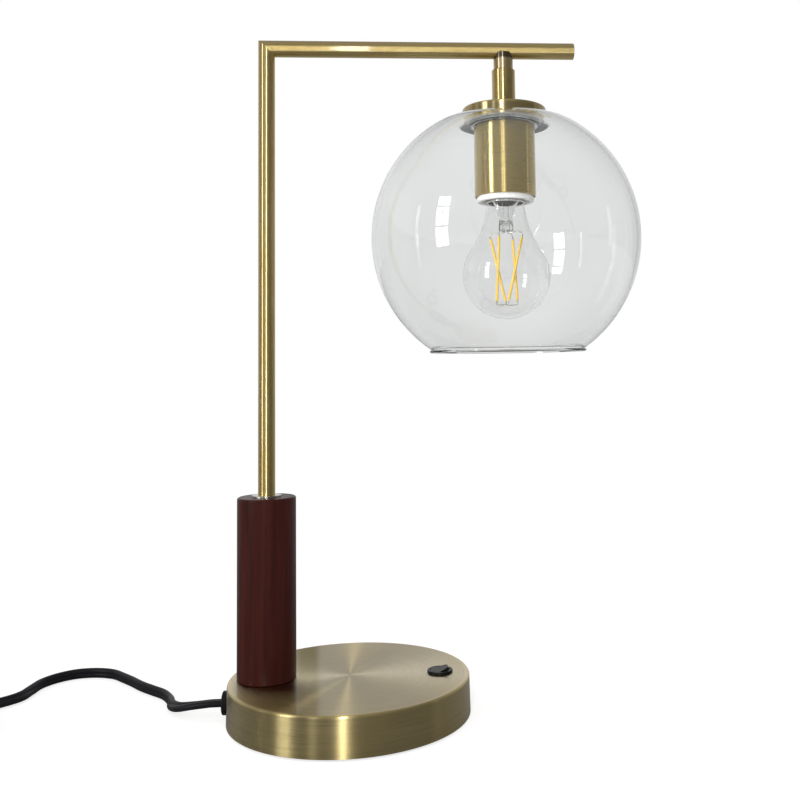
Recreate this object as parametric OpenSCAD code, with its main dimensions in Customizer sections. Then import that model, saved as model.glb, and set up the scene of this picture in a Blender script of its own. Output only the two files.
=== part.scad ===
// Desk lamp: round weighted base, offset pole with a wooden grip, a straight arm,
// and a clear globe shade hung under the arm round a clear filament bulb.
// Origin at the centre of the base on the table, +Z up, the arm points along +X.

/* [Base] */
// Outside diameter of the base cover at the table
base_d = 155; // [135:1:190]
// Height of the base from the table to its top face
base_h = 25; // [24:0.5:34]
// How much smaller the cover is in radius at its top
base_draft = 0.5; // [0:0.1:1.5]
// Radius of the rolled top edge of the base cover
base_edge_r = 1.6; // [0.8:0.1:3]
// Sheet thickness of the base cover
cover_t = 1.2; // [0.8:0.1:1.6]
// Height of the cover's lower edge above the table
cover_lift = 1.2; // [0.6:0.1:1.5]
// Thickness of the foam foot pad
pad_t = 2; // [1.8:0.1:2.6]
// Thickness of the steel bottom plate
plate_t = 1.2; // [0.8:0.1:1.8]
// Radius of the circle on which the bottom screws sit
screw_circle_r = 61; // [50:1:62]
// Thread diameter of the bottom screws
screw_d = 4; // [3:0.5:5]
// Length of the bottom screws' shanks
screw_len = 9; // [6:0.5:12]

/* [Pole and arm] */
// Distance from the edge of the base to the pole axis
pole_inset = 24.5; // [22:0.5:34]
// Height of the whole lamp
lamp_h = 442; // [400:1:520]
// Outside diameter of the brass tube
tube_d = 11; // [10.5:0.5:13]
// Wall of the brass tube
tube_wall = 1; // [0.8:0.1:1.2]
// Distance from the pole axis to the shade axis
arm_reach = 159; // [140:1:190]
// Length of arm beyond the shade axis
arm_tail = 48.5; // [25:0.5:70]
// Diameter of the wooden sleeve
sleeve_d = 37.5; // [30:0.5:42]
// Height of the wooden sleeve
sleeve_h = 115; // [70:1:150]
// Diameter of the washer between wood and tube
washer_d = 19; // [14:0.5:26]
// Thickness of that washer
washer_t = 1; // [0.6:0.1:2]
// Diameter of the hollow threaded rod
rod_d = 8; // [7.6:0.1:8.4]
// Bore of the hollow threaded rod
rod_bore = 5.2; // [4.6:0.1:5.6]

/* [Shade holder] */
// Diameter of the short stub under the arm
stub_d = 13.2; // [12.5:0.1:15]
// Visible height of the stub
stub_h = 8; // [5:0.5:20]
// Diameter of the collar below the stub
collar_d = 15.8; // [14:0.1:19]
// Height of the collar
collar_h = 27; // [15:0.5:40]
// Diameter of the round cap on top of the shade
cap_d = 57; // [50:0.5:60]
// Height of the cap
cap_h = 7.2; // [5:0.1:10]
// Thickness of the gasket between cap and glass
gasket_t = 0.8; // [0.4:0.1:1.5]
// Diameter of the clear washer under the glass
clear_washer_d = 46.2; // [44:0.1:56]
// Thickness of the clear washer's flange
clear_washer_t = 1; // [0.6:0.1:2]
// Diameter of the threaded nipple that holds the stack together
nipple_d = 10; // [9.6:0.1:10.4]
// Bore of the nipple
nipple_bore = 7.2; // [5.5:0.1:7.6]
// Diameter of the brass socket cup
cup_d = 41.5; // [40.5:0.1:46]
// Height of the socket cup
cup_h = 48.7; // [47:0.1:51]
// Sheet thickness of the socket cup
cup_t = 0.9; // [0.6:0.1:1.2]

/* [Glass shade] */
// Diameter of the globe
shade_d = 180; // [160:1:200]
// Thickness of the glass
glass_t = 2.6; // [2:0.1:3.5]
// How far the flat crown lies below the top of the full globe
crown_drop = 9.5; // [6:0.5:14]
// Radius of the shoulder between globe and crown
shoulder_r = 28; // [10:1:36]
// Radius of the hole in the crown
crown_hole_r = 20; // [14:0.5:22]
// How much of the globe is cut off at the mouth
mouth_cut = 16; // [10:0.5:30]
// Height of the short lip at the mouth
lip_h = 2.2; // [1:0.1:4]
// How far the lip flares outwards
lip_flare = 1; // [0:0.1:2]

/* [Bulb] */
// Diameter of the bulb
bulb_d = 59; // [55:0.5:62]
// Length of the bulb with its cap
bulb_len = 105; // [100:0.5:112]
// Glass thickness of the bulb
bulb_glass_t = 0.8; // [0.6:0.1:1.2]
// Radius of the bulb's inward neck curve
bulb_neck_curve = 60; // [50:1:70]
// Radius of the glass neck inside the cap
bulb_neck_r = 12.6; // [12:0.1:12.6]
// Length of one light strip
strip_len = 46; // [38:0.5:47]
// Diameter of one light strip
strip_d = 1.8; // [1.2:0.1:2.2]
// Radius of the strips' lower ends about the bulb axis
strip_low_r = 7; // [5:0.1:8]
// Radius of the strips' upper ends about the bulb axis
strip_high_r = 11.7; // [9:0.1:12]
// How far the upper ends are turned about the bulb axis
strip_turn = 62; // [30:1:80]

/* [Switch] */
// Distance from the edge of the base to the switch axis
switch_inset = 19.5; // [17:0.5:30]
// Diameter of the switch bezel
bezel_d = 16.5; // [16:0.1:19]
// Height of the bezel above the base
bezel_h = 1.4; // [1:0.1:2]
// Diameter of the switch body below the bezel
switch_body_d = 14.2; // [14:0.1:15]
// Tilt of the rocker to either side
rocker_tilt = 11; // [8:0.5:12]
// Width of the switch's solder tabs
tab_w = 4.8; // [3:0.1:5]

/* [Cord] */
// Width of the flat twin cord
cord_w = 7; // [6:0.1:7.2]
// Thickness of the flat twin cord
cord_t = 4.2; // [3.6:0.1:4.4]
// Length of cord from the grommet to the plug
cord_len = 1800; // [1700:10:1900]
// Height of the cord grommet above the table
grommet_z = 10.5; // [10:0.5:12]
// Diameter of the grommet's flange
grommet_d = 14.8; // [13.5:0.1:17]
// Thickness of the grommet's flange
grommet_t = 3.2; // [2:0.1:4]
// Whole turns in the coil
coil_loops = 6; // [5:1:7]
// Width of the strap that ties the coil
tie_w = 9; // [6:0.5:12]
// Thickness of that strap
tie_t = 0.8; // [0.5:0.1:0.8]
// Width of the plug body
plug_w = 27; // [24:0.5:32]
// Thickness of the plug body
plug_thick = 20; // [17:0.5:21]
// Length of the plug body
plug_len = 30; // [24:0.5:36]
// Length of the plug's strain relief
relief_len = 22; // [20:1:30]
// Length of the plug blades outside the body
blade_len = 17; // [15:0.5:18]

/* [Hidden] */

brass = [0.58, 0.52, 0.36];
steel = [0.72, 0.72, 0.70];
iron = [0.25, 0.25, 0.27];
mahogany = [0.25, 0.08, 0.07];
black = [0.06, 0.06, 0.07];
white = [0.93, 0.92, 0.89];
clear = [0.85, 0.92, 0.92, 0.35];
amber = [0.95, 0.72, 0.25];

// Clearances between pieces that fit into each other
slip = 0.05;
loose = 0.15;
air = 0.3;

// Heights in the base, from the table up
plate_top = pad_t + plate_t;
cover_in_z = base_h - cover_t;
base_r = base_d / 2;
base_top_r = base_r - base_draft;
plate_r = base_r - cover_t - air - base_draft * plate_top / base_h;
weight_r = base_top_r - cover_t - 2 * air;
pad_margin = 2;

// Plan positions
pole_x = pole_inset - base_r;
shade_x = pole_x + arm_reach;
arm_end_x = shade_x + arm_tail;
switch_x = base_r - switch_inset;
screw_angles = [90, 210, 330];

// Rod and its clamp under the weight
rod_bay_h = 11.1;
rod_seat_z = plate_top + rod_bay_h;
rod_washer_t = 1.6;
rod_washer_r = 8;
rod_nut_h = 4;
rod_nut_r = 7.5;
rod_end_below = 0.7;
rod_bottom = rod_seat_z - rod_washer_t - rod_nut_h - rod_end_below;
insert_len = 14;
rod_spigot_r = 3.5;

// Heights up the pole
sleeve_top = base_h + sleeve_h;
sleeve_edge_r = 1.2;
sleeve_bore_r = rod_d / 2 + 1;
tube_bottom = sleeve_top + washer_t;
tube_r = tube_d / 2;
tube_bore_r = tube_r - tube_wall;
arm_z = lamp_h - tube_r;
end_cap_t = 1.2;
end_cap_edge = 0.6;
end_cap_spigot = 6;

// Stack under the arm, from the arm down
stub_z = arm_z - tube_r - stub_h;
stub_ear = 3.5;
collar_z = stub_z - collar_h;
cap_z = collar_z - cap_h;
crown_z = cap_z - gasket_t;
glass_in_z = crown_z - glass_t;
cup_top = glass_in_z - clear_washer_t;
cup_bottom = cup_top - cup_h;
nipple_r = nipple_d / 2;
nipple_top = arm_z - tube_r - 2;
cup_plate_t = 1.2;
lock_nut_h = 3;
lock_nut_r = 8.1;
holder_top = cup_top - cup_plate_t - lock_nut_h;
nipple_bottom = holder_top - 3;
wire_hole_r = 4;

// Globe
shade_r = shade_d / 2;
shade_z = crown_z - (shade_r - crown_drop);

// Lamp holder and bulb, from the holder's top down
holder_len = 48;
holder_bottom = holder_top - holder_len;
holder_r = cup_d / 2 - cup_t - 2 * air;
holder_floor = holder_top - 18;
holder_floor_t = 4;
holder_split = holder_top - 14;
holder_wall = 1.6;
shell_r = 13.9;
shell_t = 0.4;
contact_z = holder_floor - 3.5;
bulb_top = contact_z - air;
bulb_cap_r = shell_r - shell_t - 0.4;
bulb_cap_len = 27;
bulb_cap_z = bulb_top - bulb_cap_len;
bulb_r = bulb_d / 2;
bulb_bottom = bulb_top - bulb_len;
bulb_z = bulb_bottom + bulb_r;
bulb_neck_x = bulb_neck_r + bulb_neck_curve;
bulb_neck_z = bulb_z + sqrt(pow(bulb_r + bulb_neck_curve, 2) - pow(bulb_neck_x, 2));
strip_low_z = bulb_bottom + 11;
strip_span = norm([
    strip_high_r * cos(strip_turn) - strip_low_r,
    strip_high_r * sin(strip_turn)
]);
strip_high_z = strip_low_z + sqrt(pow(strip_len, 2) - pow(strip_span, 2));
strip_angles = [0, 90, 180, 270];
lead_r = 0.3;
lead_len = 1.6;
stem_foot_z = strip_high_z + 3.2;

// Wires
wire_r = 1;
wire_y = 1.1;
wire_bend = 3;
wire_z = plate_top + wire_r + 0.5;
terminal_h = 6;
terminal_top = holder_floor + holder_floor_t + terminal_h;

// Switch, heights counted from the rocker's pivot
pivot_z = base_h;
switch_body_r = switch_body_d / 2;
switch_wall = 0.8;
switch_bay_r = switch_body_r - switch_wall;
rocker_r = switch_bay_r - air - 0.1;
rocker_pin_r = 0.72;
rocker_waist = 1.4;
rocker_belly = 2.2;
hub_r = 2;
hub_drop = 5;
plunger_r = 1.15;
plunger_tip = 8.7;
spring_top = 0.8;
spring_low = 3;
blade_drop = 9.25;
blade_t = 0.5;
blade_l = 9.4;
blade_w = 4;
blade_rib_r = 0.45;
blade_ratio = 0.5;
blade_tilt = rocker_tilt * blade_ratio;
floor_drop = 11;
floor_t = 2;
tab_drop = 18;
tab_t = 0.6;
tab_side_x = -4.2;

// Cord and its grommet
grommet_foot_z = grommet_z - grommet_d / 2;
wall_x = -(base_r - base_draft * (grommet_foot_z - cover_lift) / (base_h - cover_lift));
flange_x = wall_x - slip - grommet_t;
grommet_body_r = 5.5;
grommet_in = 11;
tail_end_x = wall_x + 12.8;
core_r = 1.3;
cord_rest_z = cord_w / 2 + 0.1;
coil_pitch = cord_t + 0.6;
layer_rise = cord_w + 0.45;
tie_gap = 0.25;
coil_z = cord_w / 2 + tie_gap + tie_t + slip;
coil_start_angle = 95;
coil_end_angle = 180;
coil_turns = coil_loops + (coil_end_angle - coil_start_angle) / 360;
loop_steps = 24;
tail_len = 4 * cord_w;
plug_z = plug_thick / 2 + 0.2;
tie_angle = 300;

// Middle of the cord from the grommet to the coil, with the twist of its flat side
route = [
    [[flange_x - cord_w, 0, grommet_z], 90],
    [[-99, 2, 9], 85],
    [[-110, 8, 6.5], 60],
    [[-117, 19, 4.6], 30],
    [[-121, 32, cord_rest_z], 10],
    [[-128, 44, cord_rest_z], 0],
    [[-138, 54, cord_rest_z], 0],
    [[-148, 64, cord_rest_z], 0],
    [[-157, 75, cord_rest_z], 0],
    [[-166, 85, cord_rest_z], 0],
    [[-176, 95, cord_rest_z], 0],
    [[-189, 100, cord_rest_z], 0],
    [[-203, 99, cord_rest_z], 0],
    [[-214, 91, cord_rest_z], 0],
    [[-221, 79, cord_rest_z], 5],
    [[-223, 65, cord_rest_z], 20],
    [[-225, 52, cord_rest_z], 40],
    [[-233, 41, cord_rest_z], 45],
    [[-244, 33, cord_rest_z], 30],
    [[-256, 30, coil_z], 10]
];

function unit(v) = v / norm(v);
function smooth(u) = let (v = max(0, min(1, u))) v * v * (3 - 2 * v);
function plan(a) = [cos(a), sin(a), 0];
function add_up(v, i = 0) = i < len(v) ? v[i] + add_up(v, i + 1) : 0;
function path_len(p) = add_up([for (i = [1:1:len(p) - 1]) norm(p[i] - p[i - 1])]);

// Point on the smooth curve through four values, u from 0 to 1 between the middle two
function blend(a, b, c, d, u) =
    0.5 * (2 * b + (c - a) * u + (2 * a - 5 * b + 4 * c - d) * u * u
    + (3 * b - a - 3 * c + d) * u * u * u);
function pick(v, i) = v[max(0, min(len(v) - 1, i))];
function refine(v, n) = concat(
    [for (i = [0:len(v) - 2], k = [0:n - 1])
        blend(pick(v, i - 1), v[i], v[i + 1], pick(v, i + 2), k / n)],
    [v[len(v) - 1]]
);

// The cord leaves the grommet and enters the coil straight, over one width
route_points = [for (r = route) r[0]];
coil_way = plan(coil_start_angle + 90);
run_end = pick(route_points, len(route)) + cord_w * coil_way;
run_path = concat([[flange_x, 0, grommet_z]], refine(route_points, 2), [run_end]);
run_twist = concat([90], refine([for (r = route) r[1]], 2), [0]);
run_len = path_len(refine(route_points, 6)) + 2 * cord_w;

// The coil: a loop at turn t lies at loop_r(t) and loop_z(t), in and out in two layers
coil_mean_r = (cord_len - run_len - cord_w - tail_len) / (360 * coil_turns) * 180 / PI;
coil_in_r = coil_mean_r - coil_pitch * coil_turns / 4;
coil_out_r = coil_in_r + coil_pitch * coil_turns / 2;
coil_entry = run_end + cord_w * coil_way;
coil_c = coil_entry - coil_out_r * plan(coil_start_angle);
function loop_r(t) = coil_in_r + coil_pitch * abs(t - coil_turns / 2);
function loop_z(t) = layer_rise * smooth((t - coil_turns / 2) * 2 + 0.5);
function coil_point(t) =
    coil_c + loop_r(t) * plan(coil_start_angle + 360 * t) + [0, 0, loop_z(t)];
coil_exit = coil_point(coil_turns);
tail_way = plan(coil_end_angle + 90);
tail_drop = coil_z + layer_rise - plug_z;
loop_count = floor(coil_turns * loop_steps);
coil_path = concat(
    [run_end],
    [for (i = [0:loop_count]) coil_point(i / loop_steps)],
    [coil_exit],
    [for (s = [cord_w, 2 * cord_w, 3 * cord_w, tail_len])
        coil_exit + s * tail_way - [0, 0, tail_drop * smooth(s / (3 * cord_w))]]
);
plug_at = pick(coil_path, len(coil_path));

// Flat oval of n corners: w across, h high
function oval(w, h, n) = [for (i = [0:n - 1])
    let (a = 360 * (i + 0.5) / n) [w / 2 * cos(a) / cos(180 / n), h / 2 * sin(a)]];
coil_section = [for (q = oval(cord_t, cord_w, 6)) [max(-cord_t / 2, min(cord_t / 2, q[0])), q[1]]];
tube_section = oval(cord_t, cord_w, 10);

// Ring of corners round point i of a path
function heading(p, i) = unit(pick(p, i + 1) - pick(p, i - 1));
function ring(p, i, section, twist, ref) =
    let (
        t = heading(p, i),
        side = unit(cross(ref, t)),
        up = cross(t, side),
        c = cos(twist),
        s = sin(twist)
    )
    [for (q = section) p[i] + (q[0] * c - q[1] * s) * side + (q[0] * s + q[1] * c) * up];

// Least distance between corners of the coil that are a whole number of turns apart
coil_rings = [for (i = [0:len(coil_path) - 1]) ring(coil_path, i, coil_section, 0, [0, 0, 1])];
function ring_gap(a, b) = min([for (p = a, q = b) norm(p - q)]);
coil_gap = min([for (i = [1:loop_count - loop_steps], k = [1:coil_loops], d = [-1:1])
    let (j = i + k * loop_steps + d) if (j <= loop_count) ring_gap(coil_rings[i], coil_rings[j])]);
echo(coil_gap = coil_gap, coil_mean_diameter = 2 * coil_mean_r, coil_inner_radius = coil_in_r);
echo(run_length = run_len, coil_length = path_len(coil_path), total = cord_len);

// One closed tube of triangles through the path
module sweep(path, section, twists = [0], ref = [0, 0, 1]) {
    n = len(section);
    last = len(path) - 1;
    rings = [for (i = [0:last]) ring(path, i, section, pick(twists, i), ref)];
    corners = [for (r = rings, q = r) q];
    sides = [for (i = [0:last - 1], j = [0:n - 1])
        let (a = i * n + j, b = i * n + (j + 1) % n) each [[a, a + n, b + n], [a, b + n, b]]];
    start = [for (j = [1:n - 2]) [0, j, j + 1]];
    end = [for (j = [1:n - 2]) [last * n, last * n + j + 1, last * n + j]];
    polyhedron(points = corners, faces = concat(sides, start, end));
}

// Points of an arc about c, from angle a to angle b in n steps
function arc(c, r, a, b, n = 6) = [for (i = [0:n]) c + r * [cos(a + (b - a) * i / n), sin(a + (b - a) * i / n)]];

module spin(profile) {
    rotate_extrude($fn = 96) polygon(profile);
}

module disc(r, z0, z1) {
    translate([0, 0, z0]) cylinder(r = r, h = z1 - z0, $fn = 96);
}

module washer(r_out, r_in, z0, z1) {
    difference() {
        disc(r_out, z0, z1);
        disc(r_in, z0 - 1, z1 + 1);
    }
}

// Straight round bar between two points
module bar(p, q, r) {
    v = q - p;
    translate(p) rotate([0, acos(v[2] / norm(v)), atan2(v[1], v[0])])
        cylinder(r = r, h = norm(v), $fn = 24);
}

// Half space on the upper right of the mitre between pole and arm, or its lower left
module mitre(upper) {
    s = 3 * tube_d;
    translate([pole_x, 0, arm_z]) rotate([0, 45, 0]) translate([-s, -s, upper ? 0 : -2 * s])
        cube(2 * s);
}

module base_cover() {
    in_r = max(base_edge_r - cover_t, 0.3);
    out_c = [base_top_r - base_edge_r, base_h - base_edge_r];
    in_c = [base_top_r - cover_t - in_r, cover_in_z - in_r];
    profile = concat(
        [[0, cover_in_z]], arc(in_c, in_r, 90, 0, 3), [[base_r - cover_t, cover_lift], [base_r, cover_lift]],
        arc(out_c, base_edge_r, 0, 90), [[0, base_h]]
    );
    color(brass) difference() {
        spin(profile);
        translate([pole_x, 0, 0]) disc(rod_d / 2 + loose, cover_in_z - 1, base_h + 1);
        translate([switch_x, 0, 0]) disc(switch_body_r + loose, cover_in_z - 1, base_h + 1);
        translate([-base_r - 1, 0, grommet_z]) rotate([0, 90, 0])
            cylinder(r = grommet_body_r + loose, h = 10, $fn = 48);
    }
}

module base_weight() {
    low = plate_top;
    edge = 1;
    chamber_top = cover_in_z - 6;
    chamber_r = 28;
    channel_w = 28;
    lead_w = 18;
    color(iron) difference() {
        spin([[0, low], [weight_r, low], [weight_r, cover_in_z - edge], [weight_r - edge, cover_in_z], [0, cover_in_z]]);
        disc(chamber_r, low - 1, chamber_top);
        translate([-base_r, -channel_w / 2, low - 1]) cube([base_r, channel_w, rod_seat_z - low + 1]);
        translate([0, -lead_w / 2, low - 1]) cube([switch_x, lead_w, chamber_top - low + 1]);
        translate([switch_x, 0, 0]) disc(switch_body_r + 3.5, low - 1, base_h);
        translate([pole_x, 0, 0]) disc(rod_d / 2 + loose, low, base_h);
        translate([-base_r, 0, grommet_z]) rotate([0, 90, 0])
            cylinder(r = grommet_body_r + 2.5, h = base_r + tail_end_x, $fn = 48);
        for (a = screw_angles) translate(screw_circle_r * plan(a)) disc(screw_d / 2 + slip, low - 1, pad_t + screw_len + 1);
    }
}

module bottom_plate() {
    color(steel) difference() {
        disc(plate_r, pad_t, plate_top);
        for (a = screw_angles) translate(screw_circle_r * plan(a)) disc(screw_d / 2 + loose, 0, plate_top + 1);
    }
}

module bottom_screws() {
    head_r = screw_d;
    head_h = pad_t - 0.4;
    slot_w = 1;
    color(steel) for (a = screw_angles) translate(screw_circle_r * plan(a)) difference() {
        union() {
            disc(head_r, pad_t - head_h, pad_t);
            disc(screw_d / 2, pad_t - slip, pad_t + screw_len);
        }
        translate([-head_r - 1, -slot_w / 2, pad_t - head_h - 1]) cube([2 * head_r + 2, slot_w, 1.7]);
    }
}

module foot_pad() {
    color(black) difference() {
        disc(plate_r - pad_margin, 0, pad_t);
        for (a = screw_angles) translate(screw_circle_r * plan(a)) disc(screw_d + 0.7, -1, pad_t + 1);
    }
}

module threaded_rod() {
    top = tube_bottom + insert_len - 1;
    color(steel) translate([pole_x, 0, 0]) difference() {
        union() {
            disc(rod_d / 2, rod_bottom, tube_bottom - slip);
            disc(rod_spigot_r, tube_bottom - 1, top);
        }
        disc(rod_bore / 2, rod_bottom - 1, top + 1);
    }
}

module rod_nut() {
    top = rod_seat_z - rod_washer_t;
    color(steel) translate([pole_x, 0, 0]) difference() {
        translate([0, 0, top - rod_nut_h]) cylinder(r = rod_nut_r, h = rod_nut_h, $fn = 6);
        disc(rod_d / 2 + slip, top - rod_nut_h - 1, top + 1);
    }
}

module rod_washer() {
    color(steel) translate([pole_x, 0, 0])
        washer(rod_washer_r, rod_d / 2 + loose, rod_seat_z - rod_washer_t, rod_seat_z);
}

module wood_sleeve() {
    r = sleeve_d / 2;
    foot = 0.5;
    color(mahogany) translate([pole_x, 0, 0]) spin(concat(
        [[sleeve_bore_r, base_h], [r - foot, base_h], [r, base_h + foot]],
        arc([r - sleeve_edge_r, sleeve_top - sleeve_edge_r], sleeve_edge_r, 0, 90),
        [[sleeve_bore_r, sleeve_top]]
    ));
}

module sleeve_washer() {
    color(steel) translate([pole_x, 0, 0]) washer(washer_d / 2, rod_d / 2 + loose, sleeve_top, tube_bottom);
}

module tube_insert() {
    color(brass) translate([pole_x, 0, 0])
        washer(tube_bore_r - slip, rod_spigot_r + slip, tube_bottom, tube_bottom + insert_len);
}

module pole_tube() {
    color(brass) difference() {
        translate([pole_x, 0, 0]) washer(tube_r, tube_bore_r, tube_bottom, lamp_h + 1);
        mitre(true);
    }
}

module arm_tube() {
    from_x = pole_x - tube_d;
    len_x = arm_end_x - end_cap_t - from_x;
    color(brass) difference() {
        translate([from_x, 0, arm_z]) rotate([0, 90, 0]) washer(tube_r, tube_bore_r, 0, len_x);
        mitre(false);
        translate([shade_x, 0, 0]) disc(wire_hole_r, arm_z - tube_d, arm_z);
    }
}

module arm_end_cap() {
    spigot_r = tube_bore_r - slip;
    rim = tube_r - end_cap_edge;
    color(brass) translate([arm_end_x - end_cap_t, 0, arm_z]) rotate([0, 90, 0]) spin(concat(
        [[0, -end_cap_spigot], [spigot_r, -end_cap_spigot], [spigot_r, 0], [tube_r, 0]],
        arc([rim, end_cap_t - end_cap_edge], end_cap_edge, 0, 90, 4),
        [[0, end_cap_t]]
    ));
}

module stem_stub() {
    color(brass) difference() {
        translate([shade_x, 0, 0]) washer(stub_d / 2, nipple_r + slip, stub_z, arm_z - tube_r + stub_ear);
        translate([shade_x - stub_d, 0, arm_z]) rotate([0, 90, 0]) cylinder(r = tube_r + slip, h = 2 * stub_d, $fn = 96);
    }
}

module stem_collar() {
    r = collar_d / 2;
    edge = 0.5;
    bore = nipple_r + slip;
    color(brass) translate([shade_x, 0, 0]) spin([
        [bore, collar_z], [r, collar_z], [r, stub_z - edge], [r - edge, stub_z], [bore, stub_z]
    ]);
}

module holder_nipple() {
    color(steel) translate([shade_x, 0, 0]) washer(nipple_r, nipple_bore / 2, nipple_bottom, nipple_top);
}

module shade_cap() {
    r = cap_d / 2;
    edge = 1.6;
    wall = 1.5;
    plate = 1.8;
    bore = nipple_r + loose;
    color(brass) translate([shade_x, 0, 0]) spin(concat(
        [[bore, collar_z - plate], [r - wall, collar_z - plate], [r - wall, cap_z], [r, cap_z]],
        arc([r - edge, collar_z - edge], edge, 0, 90),
        [[bore, collar_z]]
    ));
}

module shade_gasket() {
    color(black) translate([shade_x, 0, 0]) washer(cap_d / 2 - 0.5, crown_hole_r + 1, crown_z, cap_z);
}

// Outline of the globe at a depth below its outer face, from the mouth to the crown
function globe_outline(depth) =
    let (
        r = shade_r - depth,
        shoulder = shoulder_r - depth,
        crown = shade_r - crown_drop - depth,
        cx = sqrt(pow(r - shoulder, 2) - pow(crown - shoulder, 2)),
        turn_in = atan2(crown - shoulder, cx),
        turn_out = -asin((shade_r - mouth_cut) / r)
    )
    concat(
        arc([0, 0], r, turn_out, turn_in, 30),
        [for (p = arc([cx, crown - shoulder], shoulder, turn_in, 90, 8)) p]
    );

module glass_shade() {
    outer = globe_outline(0);
    inner = globe_outline(glass_t);
    lip_z = -(shade_r - mouth_cut) - lip_h;
    hole_out = [[crown_hole_r, shade_r - crown_drop]];
    hole_in = [[crown_hole_r, shade_r - crown_drop - glass_t]];
    rim_r = glass_t / 2;
    rim_c = [outer[0][0] + lip_flare - rim_r, lip_z + rim_r];
    back = [for (i = [len(inner) - 1:-1:0]) inner[i]];
    color(clear) translate([shade_x, 0, shade_z])
        spin(concat(outer, hole_out, hole_in, back, arc(rim_c, rim_r, 180, 360, 8)));
}

module shade_washer() {
    hub_r = crown_hole_r - air;
    color(clear) translate([shade_x, 0, 0]) spin([
        [nipple_r + loose, cup_top], [clear_washer_d / 2, cup_top], [clear_washer_d / 2, glass_in_z],
        [hub_r, glass_in_z], [hub_r, crown_z - air], [nipple_r + loose, crown_z - air]
    ]);
}

module socket_cup() {
    r = cup_d / 2;
    edge = 1;
    bore = nipple_r + loose;
    in_r = r - cup_t;
    color(brass) translate([shade_x, 0, 0]) spin(concat(
        [[bore, cup_top - cup_plate_t], [in_r, cup_top - cup_plate_t], [in_r, cup_bottom]],
        arc([r - cup_t / 2, cup_bottom + cup_t / 2], cup_t / 2, 180, 360, 6),
        arc([r - edge, cup_top - edge], edge, 0, 90),
        [[bore, cup_top]]
    ));
}

module holder_lock_nut() {
    color(steel) translate([shade_x, 0, 0]) difference() {
        translate([0, 0, holder_top]) cylinder(r = lock_nut_r, h = lock_nut_h, $fn = 6);
        disc(nipple_r + slip, holder_top - 1, holder_top + lock_nut_h + 1);
    }
}

module holder_cap() {
    top_r = holder_r - 3;
    low_r = holder_r - 1;
    bore = nipple_r + slip;
    plate = 4;
    color(white) translate([shade_x, 0, 0]) spin([
        [bore, holder_top - plate], [top_r - holder_wall, holder_top - plate],
        [low_r - holder_wall, holder_split], [low_r, holder_split],
        [low_r, holder_top - 6], [top_r, holder_top], [bore, holder_top]
    ]);
}

module holder_body() {
    mouth_r = shell_r + 2;
    lip = 1;
    floor_top = holder_floor + holder_floor_t;
    color(white) translate([shade_x, 0, 0]) difference() {
        spin(concat(
            [[0, holder_floor], [shell_r + slip, holder_floor], [shell_r + slip, holder_bottom + 5],
                [mouth_r, holder_bottom + lip]],
            arc([mouth_r + lip, holder_bottom + lip], lip, 180, 270, 3),
            arc([holder_r - lip, holder_bottom + lip], lip, 270, 360, 3),
            [[holder_r, floor_top - 1], [holder_r - 1, floor_top], [0, floor_top]]
        ));
        disc(2, holder_floor - 1, floor_top + 1);
    }
}

module holder_shell() {
    color(brass) translate([shade_x, 0, 0])
        washer(shell_r, shell_r - shell_t, holder_bottom + 5.5, holder_floor);
}

module holder_contact() {
    stem_r = 1.9;
    leaf_r = 4;
    color(brass) translate([shade_x, 0, 0]) {
        spin([
            [0, contact_z], [leaf_r - 1, contact_z], [leaf_r, contact_z + 0.6], [leaf_r, holder_floor],
            [stem_r, holder_floor], [stem_r, holder_floor + holder_floor_t + 1],
            [0, holder_floor + holder_floor_t + 1]
        ]);
    }
}

module holder_terminals() {
    block_x = 7;
    block_y = 4;
    low = holder_floor + holder_floor_t;
    color(brass) translate([shade_x, 0, 0]) for (s = [-1, 1]) {
        y0 = s > 0 ? 0.1 : -0.1 - block_y;
        difference() {
            translate([-block_x / 2, y0, low]) cube([block_x, block_y, terminal_h]);
            translate([0, 0, low - 1]) cylinder(r = 2.3, h = 2.5, $fn = 32);
        }
    }
}

// Outline of the bulb glass at a depth below its outer face, from the bottom to the neck
function bulb_outline(depth) =
    let (
        meet = atan2(bulb_neck_z - bulb_z, bulb_neck_x),
        top = bulb_cap_z + 6,
        end = min(bulb_neck_z, top)
    )
    concat(
        arc([0, bulb_z], bulb_r - depth, -90, meet, 22),
        [for (i = [1:12])
            let (z = bulb_z + (bulb_r - depth) * sin(meet))
            let (h = z + (end - z) * i / 12)
            [bulb_neck_x - sqrt(pow(bulb_neck_curve + depth, 2) - pow(bulb_neck_z - h, 2)), h]],
        [[bulb_neck_r - depth, top]]
    );

module bulb_glass() {
    outer = bulb_outline(0);
    inner = bulb_outline(bulb_glass_t);
    back = [for (i = [len(inner) - 1:-1:0]) inner[i]];
    color(clear) translate([shade_x, 0, 0]) spin(concat(outer, back));
}

module bulb_cap() {
    t = 0.3;
    shoulder = bulb_top - 6.5;
    tip_r = 9;
    color(brass) translate([shade_x, 0, 0]) spin([
        [bulb_cap_r - t, bulb_cap_z], [bulb_cap_r, bulb_cap_z], [bulb_cap_r, shoulder],
        [tip_r, shoulder + 3], [tip_r - t, shoulder + 3], [bulb_cap_r - t, shoulder]
    ]);
}

module bulb_insulator() {
    z = bulb_top - 3.5;
    color(black) translate([shade_x, 0, 0]) spin([
        [0, z - 1], [8.6, z - 1], [8.6, z], [8.9, z], [5.2, z + 2.3], [0, z + 2.3]
    ]);
}

module bulb_end_contact() {
    color(steel) translate([shade_x, 0, 0]) spin([
        [0, bulb_top - 1.2], [4.6, bulb_top - 1.2], [4.6, bulb_top - 0.6], [3.2, bulb_top], [0, bulb_top]
    ]);
}

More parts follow.
